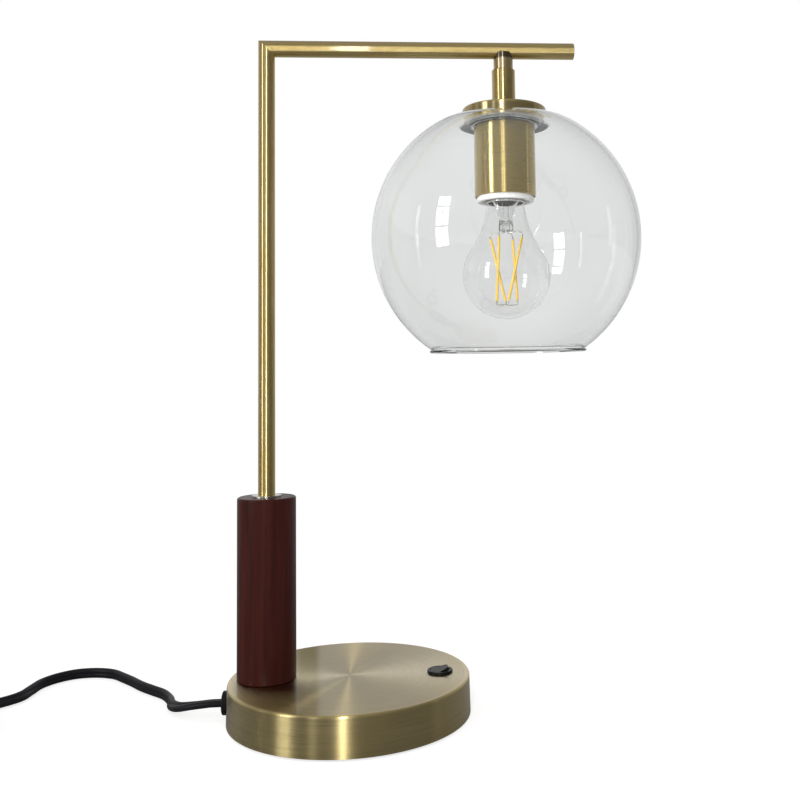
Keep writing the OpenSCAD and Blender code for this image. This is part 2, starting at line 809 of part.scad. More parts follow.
module bulb_driver() {
    low = bulb_top - 14.5;
    color([0.1, 0.35, 0.18]) translate([shade_x, 0, 0]) {
        translate([-9, -0.8, low]) cube([18, 1.6, 10]);
        translate([3.5, 3.6, low + 1]) cylinder(r = 2.6, h = 7, $fn = 32);
        translate([-6, 0.8, low + 2]) cube([5, 2.4, 4]);
        translate([2, 0.8, low + 3]) cube([3, 1, 2]);
    }
}

module bulb_stem() {
    top = bulb_cap_z + 4;
    pinch_z = stem_foot_z + 0.8;
    wall = 0.8;
    span = top - pinch_z;
    color(clear) translate([shade_x, 0, 0]) spin([
        [bulb_neck_r - bulb_glass_t - slip, top], [9.6, top - 2], [7.6, top - span * 0.3],
        [5.4, top - span * 0.6], [4.2, pinch_z + 3], [4.2, pinch_z], [3.4, stem_foot_z], [0, stem_foot_z],
        [0, pinch_z + 4], [4.4 - wall, top - span * 0.6 + 1], [7.6 - wall, top - span * 0.3 + 0.5],
        [9.6 - wall, top - 1.4], [bulb_neck_r - bulb_glass_t - 1.2, top]
    ]);
}

function strip_low(k) = strip_low_r * plan(strip_angles[k]) + [0, 0, strip_low_z];
function strip_high(k) = strip_high_r * plan(strip_angles[k] + strip_turn) + [0, 0, strip_high_z];

// Leads from the glass stem to the strips, and the two bridges that join them below
module bulb_support_wires() {
    root_r = 2.8;
    root_z = stem_foot_z;
    six = [for (i = [0:5]) plan(60 * i)];
    color(steel) translate([shade_x, 0, 0]) {
        for (k = [0:3]) {
            way = unit(strip_high(k) - strip_low(k));
            turn = strip_angles[k] + strip_turn;
            root = root_r * plan(turn) + [0, 0, root_z];
            sweep([strip_high(k), strip_high(k) + lead_len * way, root - [0, 0, 1], root],
                lead_r * six, ref = plan(turn - 90));
        }
        for (k = [0, 2]) {
            p = strip_low(k) - lead_len * unit(strip_high(k) - strip_low(k));
            q = strip_low(k + 1) - lead_len * unit(strip_high(k + 1) - strip_low(k + 1));
            sweep([strip_low(k), p, q, strip_low(k + 1)], lead_r * six, ref = plan(strip_angles[k] + 45));
        }
    }
}

module bulb_filaments() {
    color(amber) translate([shade_x, 0, 0]) for (k = [0:3]) bar(strip_low(k), strip_high(k), strip_d / 2);
}

module switch_housing() {
    edge = 0.5;
    r = bezel_d / 2;
    low = pivot_z - floor_drop - floor_t;
    top = pivot_z + bezel_h;
    stop_x = 3.2;
    color(black) translate([switch_x, 0, 0]) {
        difference() {
            spin(concat(
                [[0, low], [switch_body_r - 0.4, low], [switch_body_r, low + 0.4], [switch_body_r, pivot_z], [r, pivot_z]],
                arc([r - edge, top - edge], edge, 0, 90, 4),
                [[switch_bay_r, top], [switch_bay_r, low + floor_t], [0, low + floor_t]]
            ));
            translate([0, -switch_body_r, pivot_z]) rotate([-90, 0, 0])
                cylinder(r = rocker_pin_r + 0.08, h = 2 * switch_body_r, $fn = 32);
            for (x = [0, tab_side_x]) translate([x - tab_t / 2 - slip, -tab_w / 2 - slip, low - 1])
                cube([tab_t + 2 * slip, tab_w + 2 * slip, floor_t + 2]);
        }
        translate([stop_x, -1.5, low + floor_t]) cube([1.2, 3, 0.75]);
    }
}

// The rocker lies tilted down on the pole's side
module switch_rocker() {
    rise = rocker_r * tan(rocker_tilt);
    pin_len = switch_body_r - 0.2;
    color(black) translate([switch_x, 0, pivot_z]) rotate([0, -rocker_tilt, 0]) difference() {
        union() {
            intersection() {
                translate([0, 0, -rocker_r]) cylinder(r = rocker_r, h = 2 * rocker_r, $fn = 96);
                rotate([90, 0, 0]) translate([0, 0, -rocker_r])
                    cylinder(r = rocker_r + slip, h = 2 * rocker_r, $fn = 96);
                rotate([90, 0, 0]) linear_extrude(2 * rocker_r, center = true) polygon([
                    [-rocker_r - 1, -rocker_belly], [rocker_r + 1, -rocker_belly],
                    [rocker_r + 1, rocker_waist + rise], [rocker_r * 0.9, rocker_waist + rise * 0.9],
                    [0, rocker_waist],
                    [-rocker_r * 0.9, rocker_waist + rise * 0.9], [-rocker_r - 1, rocker_waist + rise]
                ]);
            }
            disc(hub_r, -hub_drop, -rocker_belly);
            translate([0, -pin_len, 0]) rotate([-90, 0, 0]) cylinder(r = rocker_pin_r, h = 2 * pin_len, $fn = 32);
        }
        disc(plunger_r + 0.1, -hub_drop - 1, -spring_top);
    }
}

module switch_plunger() {
    color(steel) translate([switch_x, 0, pivot_z]) rotate([0, -rocker_tilt, 0]) {
        disc(plunger_r, plunger_r - plunger_tip, -spring_low);
        translate([0, 0, plunger_r - plunger_tip]) sphere(r = plunger_r, $fn = 48);
    }
}

// The spring is drawn as the sleeve that its turns fill
module switch_spring() {
    color(steel) translate([switch_x, 0, pivot_z]) rotate([0, -rocker_tilt, 0])
        washer(plunger_r, plunger_r - 0.3, -spring_low, -spring_top);
}

// A see-saw that rocks on its round rib
module switch_blade() {
    notch = 0.5;
    color(brass) translate([switch_x, 0, pivot_z - blade_drop]) rotate([0, blade_tilt, 0]) {
        difference() {
            translate([-blade_l / 2, -blade_w / 2, -blade_t / 2]) cube([blade_l, blade_w, blade_t]);
            for (s = [-1, 1]) translate([-0.8, s * blade_w / 2 - notch, -1]) cube([1.6, 2 * notch, 2]);
        }
        difference() {
            rotate([90, 0, 0]) cylinder(r = blade_rib_r, h = blade_w - 2 * notch, $fn = 48, center = true);
            translate([-1, -blade_w / 2, 0]) cube([2, blade_w, 1]);
        }
    }
}

module switch_terminals() {
    low = pivot_z - tab_drop;
    centre_top = pivot_z - blade_drop - blade_rib_r - air;
    side_top = pivot_z - blade_drop - blade_t / 2 - air - 0.45;
    hole_r = 0.7;
    color(brass) translate([switch_x, 0, 0]) difference() {
        union() {
            translate([-tab_t / 2, -tab_w / 2, low]) cube([tab_t, tab_w, centre_top - low]);
            translate([tab_side_x - tab_t / 2, -tab_w / 2, low]) cube([tab_t, tab_w, side_top - 0.4 - low]);
            translate([tab_side_x, 0, side_top - 0.7]) cylinder(r = 1, h = 0.7, $fn = 32);
        }
        for (x = [0, tab_side_x]) translate([x - 1, 0, low + 1.5]) rotate([0, 90, 0])
            cylinder(r = hole_r, h = 2, $fn = 24);
    }
}

// Flat twin cord as a straight piece along X, from x0 to x1
module flat_cord(x0, x1, grow = 0) {
    half = (cord_w - cord_t) / 2;
    r = cord_t / 2 + grow;
    translate([x0, 0, grommet_z]) {
        for (s = [-1, 1]) translate([0, s * half, 0]) rotate([0, 90, 0]) cylinder(r = r, h = x1 - x0, $fn = 48);
        translate([0, -half, -r]) cube([x1 - x0, 2 * half, 2 * r]);
    }
}

module cord_grommet() {
    r = grommet_d / 2;
    edge = 0.9;
    lug = cover_t + 0.5;
    color(black) difference() {
        translate([wall_x - slip, 0, grommet_z]) rotate([0, 90, 0]) spin(concat(
            [[0, -grommet_t]],
            arc([r - edge, edge - grommet_t], edge, -90, 0, 5),
            [[r, 0], [grommet_body_r, 0], [grommet_body_r, lug], [grommet_body_r + 0.8, lug + 0.2],
                [grommet_body_r + 0.8, lug + 1.5], [grommet_body_r - 0.8, grommet_in], [0, grommet_in]]
        ));
        flat_cord(flange_x - 1, tail_end_x + 1, slip);
    }
}

module cord_tail() {
    color(black) flat_cord(flange_x, tail_end_x);
}

// Two wires up the pole, along the arm and down to the lamp holder
module pole_wires() {
    b = wire_bend;
    color(black) for (s = [-1, 1]) translate([0, s * wire_y, 0]) {
        translate([pole_x, 0, 0]) disc(wire_r, wire_z + b, arm_z - b);
        translate([pole_x + b, 0, wire_z + b]) rotate([90, 0, 0])
            rotate([0, 0, 180]) rotate_extrude(angle = 90, $fn = 48) translate([b, 0]) circle(r = wire_r, $fn = 24);
        translate([pole_x + b, 0, arm_z - b]) rotate([90, 0, 0])
            rotate([0, 0, 90]) rotate_extrude(angle = 90, $fn = 48) translate([b, 0]) circle(r = wire_r, $fn = 24);
        translate([pole_x + b, 0, arm_z]) rotate([0, 90, 0]) disc(wire_r, 0, arm_reach - 2 * b);
        translate([shade_x - b, 0, arm_z - b]) rotate([90, 0, 0])
            rotate_extrude(angle = 90, $fn = 48) translate([b, 0]) circle(r = wire_r, $fn = 24);
        translate([shade_x, 0, 0]) disc(wire_r, terminal_top, arm_z - b);
    }
}

connector_x = -20;
connector_y = -7;
connector_z = plate_top + 3.6;

// Wiring in the base: the cord's two cores and the tails of the two pole wires
module base_wires() {
    six = [for (i = [0:5]) plan(60 * i)];
    start = wire_bend + pole_x;
    tab_z = pivot_z - tab_drop + 3.5;
    side_x = switch_x + tab_side_x - tab_t / 2;
    color(black) {
        sweep([
            [tail_end_x, -1.75, grommet_z], [tail_end_x + 1, -1.75, grommet_z], [pole_x - 8.5, -6, grommet_z - 0.5],
            [pole_x - 6, -10, 9], [pole_x, -11.7, 8], [pole_x + 10, -11.5, 7], [connector_x - 10, -9, connector_z],
            [connector_x - 3, -8.2, connector_z], [connector_x + 3, -8.2, connector_z]
        ], core_r * six);
        sweep([
            [tail_end_x, 1.75, grommet_z], [tail_end_x + 1, 1.75, grommet_z], [pole_x - 8.5, 6, grommet_z - 0.5],
            [pole_x - 6, 10, 9], [pole_x, 11.7, 8], [pole_x + 10, 11.5, 7], [-20, 9, 6], [0, 7.5, 6], [20, 5.5, 6],
            [side_x - 14, 2, 6.5], [side_x - 7, 0.5, tab_z - 0.5], [side_x - 3, 0, tab_z], [side_x, 0, tab_z]
        ], core_r * six);
        sweep([
            [start, -wire_y, wire_z], [start + 3, -wire_y, wire_z], [start + 12, -3.5, wire_z + 0.5],
            [connector_x - 5, -5.4, connector_z], [connector_x - 1, -5.6, connector_z],
            [connector_x + 3, -5.6, connector_z]
        ], wire_r * six);
        sweep([
            [start, wire_y, wire_z], [start + 3, wire_y, wire_z], [start + 14, 4, wire_z + 0.5], [-20, 5, 6],
            [0, 3, 6], [20, 0, 5.8], [35, -4, 5.8], [switch_x - 8, -6.5, 6.5], [switch_x - 2.5, -6.8, tab_z - 0.5],
            [switch_x, -5.5, tab_z], [switch_x, -tab_w / 2, tab_z]
        ], wire_r * six);
    }
}

module wire_connector() {
    color(white) translate([connector_x, connector_y, connector_z]) rotate([0, 90, 0]) spin([
        [2.75, 0], [3.3, 0], [3.3, 12], [1.6, 14.5], [0, 14.5], [0, 5], [2.75, 5]
    ]);
}

module supply_cord() {
    color(black) sweep(run_path, tube_section, run_twist);
}

module cord_coil() {
    color(black) sweep(coil_path, coil_section);
}

// Radii of the turns that pass under the strap
tie_turns = [for (k = [0:coil_loops]) let (t = k + (tie_angle - coil_start_angle) / 360) if (t < coil_turns) loop_r(t)];

module cord_tie() {
    inner = min(tie_turns) - cord_t / 2 - 3 * tie_gap;
    outer = max(tie_turns) + cord_t / 2 + tie_gap;
    low = coil_z - cord_w / 2 - tie_gap;
    high = low + 2 * tie_gap + cord_w + layer_rise;
    c = 1.2;
    color(black) translate([coil_c[0], coil_c[1], 0]) rotate([0, 0, tie_angle]) rotate([90, 0, 0])
        linear_extrude(tie_w, center = true) difference() {
            translate([-tie_t, -tie_t]) polygon([
                [inner + c, low], [outer + 2 * tie_t - c, low], [outer + 2 * tie_t, low + c],
                [outer + 2 * tie_t, high + 2 * tie_t - c], [outer + 2 * tie_t - c, high + 2 * tie_t],
                [inner + c, high + 2 * tie_t], [inner, high + 2 * tie_t - c], [inner, low + c]
            ]);
            polygon([[inner, low], [outer, low], [outer, high], [inner, high]]);
        }
}

// The plug lies flat, its axis along the end of the cord
module at_plug() {
    translate(plug_at) rotate([0, 0, coil_end_angle + 90]) children();
}

module blade_pair(grow = 0) {
    gap = 12.7;
    high = 6.35 + 2 * grow;
    thick = 1.5 + 2 * grow;
    root = 5;
    x0 = relief_len + plug_len - root - grow;
    for (s = [-1, 1]) translate([x0, s * gap / 2 - thick / 2, -high / 2]) difference() {
        cube([root + blade_len + grow, thick, high]);
        translate([root + blade_len - 4, -1, high / 2]) rotate([-90, 0, 0])
            cylinder(r = grow > 0 ? 0.01 : 1.6, h = thick + 2, $fn = 32);
    }
}

module plug_body() {
    w = plug_w / 2;
    h = plug_thick / 2;
    nose = relief_len + plug_len;
    rib = 0.7;
    rib_step = relief_len / 6;
    plan_half = [[relief_len, 7], [relief_len + 4, w - 2], [relief_len + 9, w], [nose - 2, w - 0.5], [nose, w - 2.5]];
    side_half = [[relief_len, 6.5], [relief_len + 5, h - 1], [relief_len + 9, h], [nose - 1.5, h], [nose, h - 1.5]];
    function both(v) = concat(v, [for (i = [len(v) - 1:-1:0]) [v[i][0], -v[i][1]]]);
    color(black) at_plug() difference() {
        union() {
            intersection() {
                linear_extrude(plug_thick + 1, center = true) polygon(both(plan_half));
                rotate([90, 0, 0]) linear_extrude(plug_w + 1, center = true) polygon(both(side_half));
                rotate([0, 90, 0]) cylinder(r = norm([w, h]) - 1.6, h = nose, $fn = 64);
            }
            rotate([0, 90, 0]) spin(concat(
                [[0, 0], [3.8, 0]],
                [for (i = [0:4]) each [
                    [4.2 + i * 0.35, 1 + i * rib_step], [4.2 + i * 0.35, 1 + (i + 0.5) * rib_step],
                    [4.2 + i * 0.35 - rib, 1 + (i + 0.55) * rib_step], [4.2 + i * 0.35 - rib, 1 + (i + 0.95) * rib_step]
                ]],
                [[6.2, relief_len - 1], [6.2, relief_len + 2], [0, relief_len + 2]]
            ));
        }
        blade_pair(slip);
    }
}

module plug_blades() {
    color(brass) at_plug() blade_pair();
}

base_cover();
base_weight();
bottom_plate();
bottom_screws();
foot_pad();
threaded_rod();
rod_nut();
rod_washer();
wood_sleeve();
sleeve_washer();
tube_insert();
pole_tube();
arm_tube();
arm_end_cap();
stem_stub();
stem_collar();
holder_nipple();
shade_cap();
shade_gasket();
glass_shade();
shade_washer();
socket_cup();
holder_lock_nut();
holder_cap();
holder_body();
holder_shell();
holder_contact();
holder_terminals();
bulb_glass();
bulb_cap();
bulb_insulator();
bulb_end_contact();
bulb_driver();
bulb_stem();
bulb_support_wires();
bulb_filaments();
switch_housing();
switch_rocker();
switch_plunger();
switch_spring();
switch_blade();
switch_terminals();
cord_grommet();
cord_tail();
pole_wires();
base_wires();
wire_connector();
supply_cord();
cord_coil();
cord_tie();
plug_body();
plug_blades();
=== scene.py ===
import math

import bmesh
import bpy
from mathutils import Matrix, Vector


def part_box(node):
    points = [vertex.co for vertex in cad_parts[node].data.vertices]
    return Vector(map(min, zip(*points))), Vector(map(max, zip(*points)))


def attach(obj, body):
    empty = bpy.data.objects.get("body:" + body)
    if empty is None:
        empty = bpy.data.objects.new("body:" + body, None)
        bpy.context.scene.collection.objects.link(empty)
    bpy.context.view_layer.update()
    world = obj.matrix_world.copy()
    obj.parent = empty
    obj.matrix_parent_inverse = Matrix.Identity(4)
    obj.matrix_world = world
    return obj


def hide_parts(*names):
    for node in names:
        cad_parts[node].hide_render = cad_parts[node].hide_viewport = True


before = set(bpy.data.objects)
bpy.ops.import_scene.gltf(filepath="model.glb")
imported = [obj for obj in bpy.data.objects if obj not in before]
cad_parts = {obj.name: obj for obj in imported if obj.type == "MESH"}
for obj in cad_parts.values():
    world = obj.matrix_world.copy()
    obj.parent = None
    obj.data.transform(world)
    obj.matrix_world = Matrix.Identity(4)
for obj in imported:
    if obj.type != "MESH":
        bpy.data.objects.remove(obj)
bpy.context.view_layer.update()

MM = 0.001
scene = bpy.context.scene
scene.view_settings.view_transform = "Standard"


def low(node, axis):
    """The low side of a CAD node along an axis, in millimetres."""
    return round(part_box(node)[0][axis] / MM, 1)


def high(node, axis):
    """The high side of a CAD node along an axis, in millimetres."""
    return round(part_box(node)[1][axis] / MM, 1)


def middle(node, axis):
    """The middle of a CAD node along an axis, in millimetres."""
    lo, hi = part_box(node)
    return round((lo[axis] + hi[axis]) / 2 / MM, 1)


def half(node, axis):
    """Half the width of a CAD node along an axis, in millimetres."""
    lo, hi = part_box(node)
    return round((hi[axis] - lo[axis]) / 2 / MM, 1)


# Places in plan and heights of the model, in millimetres
POLE_X, SHADE_X, ARM_Z = middle("wood_sleeve", 0), middle("shade_cap", 0), middle("arm_end_cap", 2)
BASE_R, BASE_H = high("base_cover", 0), high("base_cover", 2)
AXIS = Vector((SHADE_X, 0, 0))


# ---------------------------------------------------------------- camera

# The photograph's camera, as solved from it: place in millimetres, turns in degrees, lens and
# sensor in millimetres, and where the lens's axis meets the picture, in pixels
CAMERA_AT = (40.8587, -657.2192, 220.3893)
CAMERA_TURNS = (85.629, 3.994, -0.891)
SENSOR, LENS, PICTURE = 36, 44.435, 800
AXIS_PIXEL = (485, 300)


def make_camera():
    """The camera that took the photograph."""
    yaw, pitch, roll = (math.radians(a) for a in CAMERA_TURNS)
    forward = Vector((math.cos(yaw) * math.cos(pitch), math.sin(yaw) * math.cos(pitch), math.sin(pitch)))
    right = Vector((math.sin(yaw), -math.cos(yaw), 0))
    up = right.cross(forward)
    x = right * math.cos(roll) + up * math.sin(roll)
    y = up * math.cos(roll) - right * math.sin(roll)
    data = bpy.data.cameras.new("camera")
    data.sensor_width = SENSOR
    data.lens = LENS
    data.shift_x = 0.5 - AXIS_PIXEL[0] / PICTURE
    data.shift_y = AXIS_PIXEL[1] / PICTURE - 0.5
    data.clip_start = 0.01
    cam = bpy.data.objects.new("camera", data)
    turn = Matrix((x, y, -forward)).transposed().to_4x4()
    cam.matrix_world = Matrix.Translation(Vector(CAMERA_AT) * MM) @ turn
    scene.collection.objects.link(cam)
    scene.camera = cam


# ---------------------------------------------------------------- meshes

def piece(name, verts, faces, body, slot, angle):
    """A mesh from points in millimetres, riding on a body; edges sharper than the angle show."""
    bm = bmesh.new()
    vs = [bm.verts.new(Vector(v) * MM) for v in verts]
    for f in faces:
        bm.faces.new([vs[i] for i in f])
    bmesh.ops.recalc_face_normals(bm, faces=bm.faces)
    mesh = bpy.data.meshes.new(name)
    bm.to_mesh(mesh)
    bm.free()
    mesh.shade_smooth()
    mesh.set_sharp_from_angle(angle=math.radians(angle))
    obj = bpy.data.objects.new(name, mesh)
    scene.collection.objects.link(obj)
    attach(obj, body)
    return obj


def skin(rings, closed_path=False, caps=True):
    """Points and faces of a tube through rings of equal length."""
    n, m = len(rings[0]), len(rings)
    verts = [p for ring in rings for p in ring]
    faces = []
    for i in range(m if closed_path else m - 1):
        a, b = i * n, (i + 1) % m * n
        faces += [(a + j, a + (j + 1) % n, b + (j + 1) % n, b + j) for j in range(n)]
    if caps and not closed_path:
        faces += [tuple(range(n)), tuple(range((m - 1) * n, m * n))]
    return verts, faces


def join(parts):
    """Points and faces of several meshes as those of one."""
    verts, faces = [], []
    for v, f in parts:
        faces += [tuple(i + len(verts) for i in q) for q in f]
        verts += v
    return verts, faces


def turned(profile, n, shape=None):
    """Points and faces of a closed profile of (radius, height) turned round the shade's axis."""
    verts, faces, rings = [], [], []
    for r, z in profile:
        if r < 1e-6:
            rings.append([len(verts)])
            verts.append((SHADE_X, 0, z))
            continue
        rings.append(list(range(len(verts), len(verts) + n)))
        for i in range(n):
            a = 2 * math.pi * i / n
            q, h = shape(r, z, a) if shape else (r, z)
            verts.append((SHADE_X + q * math.cos(a), q * math.sin(a), h))
    for a, b in zip(rings, rings[1:] + rings[:1]):
        if len(a) == 1 and len(b) == 1:
            continue
        for i in range(n):
            j = (i + 1) % n
            quad = [a[i % len(a)], a[j % len(a)], b[j % len(b)], b[i % len(b)]]
            faces.append(tuple(dict.fromkeys(quad)))
    return verts, faces


def arc(c, r, a, b, n):
    """Points of an arc round c from angle a to angle b, in degrees."""
    return [(c[0] + r * math.cos(math.radians(a + (b - a) * i / n)),
             c[1] + r * math.sin(math.radians(a + (b - a) * i / n))) for i in range(n + 1)]


def smooth(u):
    """A soft step from 0 to 1."""
    u = max(0.0, min(1.0, u))
    return u * u * (3 - 2 * u)


def mix(a, b, u):
    """The value at u on the way from a at 0 to b at 1."""
    return a + (b - a) * u


def plan(a):
    """The level direction at an angle in degrees."""
    return Vector((math.cos(math.radians(a)), math.sin(math.radians(a)), 0))


def upward(z):
    """The upright vector of a height."""
    return Vector((0, 0, z))


def pick(v, i):
    """An item of a list, with the index held inside it."""
    return v[max(0, min(len(v) - 1, i))]


def curve_through(points, n):
    """Points on the smooth curve through points, n to each span."""
    out = []
    for i in range(len(points) - 1):
        a, b, c, d = pick(points, i - 1), points[i], points[i + 1], pick(points, i + 2)
        for k in range(n):
            u = k / n
            out.append(0.5 * (2 * b + (c - a) * u + (2 * a - 5 * b + 4 * c - d) * u * u
                              + (3 * b - a - 3 * c + d) * u * u * u))
    return out + [points[-1]]


def length(path):
    """Length of a path of points."""
    return sum((b - a).length for a, b in zip(path, path[1:]))


def swept(path, section, twists=(0,), ref=Vector((0, 0, 1))):
    """Rings of a section of (side, up) points along a path, turned by twists in degrees."""
    rings = []
    for i, p in enumerate(path):
        t = (pick(path, i + 1) - pick(path, i - 1)).normalized()
        side = ref.cross(t).normalized()
        up = t.cross(side)
        w = math.radians(pick(twists, i))
        c, s = math.cos(w), math.sin(w)
        rings.append([p + (q[0] * c - q[1] * s) * side + (q[0] * s + q[1] * c) * up for q in section])
    return rings


def round_section(r, n):
    """The section of a round wire."""
    return [(r * math.cos(2 * math.pi * i / n), r * math.sin(2 * math.pi * i / n)) for i in range(n)]


def along(a, b, profile, n=24):
    """Rings round the line from a to b; profile is a list of (distance from a, radius)."""
    way = (b - a).normalized()
    side = way.orthogonal().normalized()
    up = way.cross(side)
    return [[a + way * s + (side * math.cos(2 * math.pi * i / n) + up * math.sin(2 * math.pi * i / n)) * r
             for i in range(n)] for s, r in profile]


# ---------------------------------------------------------------- cord

# The cord's width, thickness and length; the height of its middle on the table on edge, in the
# coil's lower layer, and the rise to the upper one; the pitch and the number of the coil's turns;
# the angles at which the coil starts and ends; and the straight piece before the plug
CORD_W, CORD_T, CORD_LEN = 7.0, 4.2, 1800.0
REST_Z, COIL_Z, RISE, PITCH = 3.6, 4.6, 7.45, 4.8
TURNS, START, END = 6 + 85 / 360, 95, 180
TAIL = 4 * CORD_W
GROMMET_Z, PLUG_Z = middle("cord_grommet", 2), middle("plug_body", 2)

# The groove on each side of the cord: its depth at the edges and in the middle, and half its width
GROOVE_EDGE, GROOVE_DEEP, GROOVE_HALF = 0.28, 0.36, 0.3


def cord_route():
    """The middle of the cord from the grommet to the plug, and the twist of its flat side."""
    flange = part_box("cord_grommet")[0].x / MM
    # Chosen after the photograph as far as it shows the cord: place, and twist in degrees
    marks = [
        (flange - CORD_W, 0, GROMMET_Z, 90), (-99, 2, 9, 85), (-110, 8, 6.5, 60), (-117, 19, 4.6, 30),
        (-121, 32, REST_Z, 10), (-128, 44, REST_Z, 0), (-138, 54, REST_Z, 0), (-148, 64, REST_Z, 0),
        (-157, 75, REST_Z, 0), (-166, 85, REST_Z, 0), (-176, 95, REST_Z, 0), (-189, 100, REST_Z, 0),
        (-203, 99, REST_Z, 0), (-214, 91, REST_Z, 0), (-221, 79, REST_Z, 5), (-223, 65, REST_Z, 20),
        (-225, 52, REST_Z, 40), (-233, 41, REST_Z, 45), (-244, 33, REST_Z, 30), (-256, 30, COIL_Z, 10),
    ]
    points = [Vector(m[:3]) for m in marks]
    twists = [m[3] for m in marks]
    way = plan(START + 90)
    run_end = points[-1] + CORD_W * way
    run_len = length(curve_through(points, 6)) + 2 * CORD_W
    mean_r = (CORD_LEN - run_len - CORD_W - TAIL) / (2 * math.pi * TURNS)
    in_r = mean_r - PITCH * TURNS / 4
    centre = run_end + CORD_W * way - (in_r + PITCH * TURNS / 2) * plan(START)

    def loop(t):
        r = in_r + PITCH * abs(t - TURNS / 2)
        return centre + r * plan(START + 360 * t) + upward(RISE * smooth((t - TURNS / 2) * 2 + 0.5))

    def path(run_steps, loop_steps, tail_steps):
        run = [Vector((flange, 0, GROMMET_Z))] + curve_through(points, run_steps) + [run_end]
        twist = [90] + curve_through(twists, run_steps) + [0]
        last = loop(TURNS)
        coil = [loop(i / loop_steps) for i in range(int(TURNS * loop_steps) + 1)] + [last]
        drop = COIL_Z + RISE - PLUG_Z
        tail = []
        for k in range(1, tail_steps + 1):
            part = TAIL * k / tail_steps
            tail.append(last + part * plan(END + 90) - upward(drop * smooth(part / (3 * CORD_W))))
        return run + coil + tail, twist

    return path, centre, in_r


def cord_section():
    """Two round cores side by side in one sheath, with a shallow groove on each side."""
    core_r, core_x = CORD_T / 2, (CORD_W - CORD_T) / 2
    lobe = [(core_r * math.sin(math.radians(a)), core_x + core_r * math.cos(math.radians(a)))
            for a in range(-108, 109, 18)]
    groove = [(core_r - GROOVE_EDGE, GROOVE_HALF), (core_r - GROOVE_DEEP, 0.0),
              (core_r - GROOVE_EDGE, -GROOVE_HALF)]
    return lobe + groove + [(-x, -y) for x, y in lobe] + [(-x, -y) for x, y in groove]


def make_cord():
    """The cord with its coil, its plug and its strap."""
    route, centre, in_r = cord_route()
    fine, twist = route(5, 48, 12)
    cord = piece("cord", *skin(swept(fine, cord_section(), twist)), "lamp", "cord_black", 60)
    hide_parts("supply_cord", "cord_coil")
    plug = make_plug(fine[-1])
    tie = make_tie(centre, in_r)
    marks, _ = route(2, 24, 4)
    return cord, plug, tie


def make_plug(at):
    """A moulded plug: ribbed relief, waisted grip and a stepped face, its axis along -Y."""
    def oval(s, w, h, power, n=48):
        ring = []
        for i in range(n):
            a = 2 * math.pi * i / n
            c, d = math.cos(a), math.sin(a)
            ring.append(Vector((at.x + w * math.copysign(abs(c) ** (2 / power), c), at.y - s,
                                at.z + h * math.copysign(abs(d) ** (2 / power), d))))
        return ring

    # Sections as (distance from the cord's end, half width, half height, squareness)
    marks = [(0.2, 3.4, 3.4, 2), (0.6, 3.9, 3.9, 2)]
    ribs, rib_step, rib_r, rib_growth, rib_edge, rib_gap = 5, 3.6, 4.1, 0.35, 0.25, 0.6
    for k in range(ribs):
        s, r = 1 + k * rib_step, rib_r + rib_growth * k
        marks += [(s + ds, r + dr, r + dr, 2) for ds, dr in (
            (0, 0), (0.25, rib_edge), (1.5, rib_edge), (1.75, 0), (2.0, -rib_gap), (3.2, -rib_gap))]
    marks += [(19.6, 5.9, 5.9, 2), (21.5, 6.2, 6.2, 2), (22.5, 6.9, 6.5, 2.2), (24.5, 9.2, 7.6, 2.5),
              (27, 11.8, 8.8, 2.9), (29.5, 13.0, 9.5, 3.1), (31.5, 13.4, 9.9, 3.3), (33.5, 13.3, 9.8, 3.3)]
    grips, grip_from, grip_step = 6, 34.5, 2.1
    wide, narrow = (13.1, 9.5, 3.4), (12.7, 9.1, 3.4)
    for k in range(grips):
        s = grip_from + k * grip_step
        marks += [(s, *wide), (s + 0.35, *narrow), (s + 1.0, *narrow), (s + 1.35, *wide)]
    marks += [(48, 13.4, 9.9, 3.5), (50.2, 13.3, 9.9, 3.5), (51.3, 12.6, 9.4, 3.6), (51.9, 11.6, 8.7, 3.6),
              (52, 11.0, 8.1, 3.6), (51.7, 10.4, 7.5, 3.6), (51.7, 5, 3, 2.4)]
    plug = piece("plug", *skin([oval(*m) for m in marks]), "lamp", "cord_black", 40)
    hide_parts("plug_body")
    return plug


# The strap's place round the coil in degrees, and the CAD strap's thickness and air in and outside
STRAP_AT, STRAP_T, AIR_IN, AIR_OUT = 300, 0.8, 0.75, 0.25

# How far the middle of the band lies within the CAD strap's heights, how far its end lies outside
# the loop, and the power that squares the loop
STRAP_MID, STRAP_LAP, STRAP_SQUARE = 0.45, 0.82, 0.28


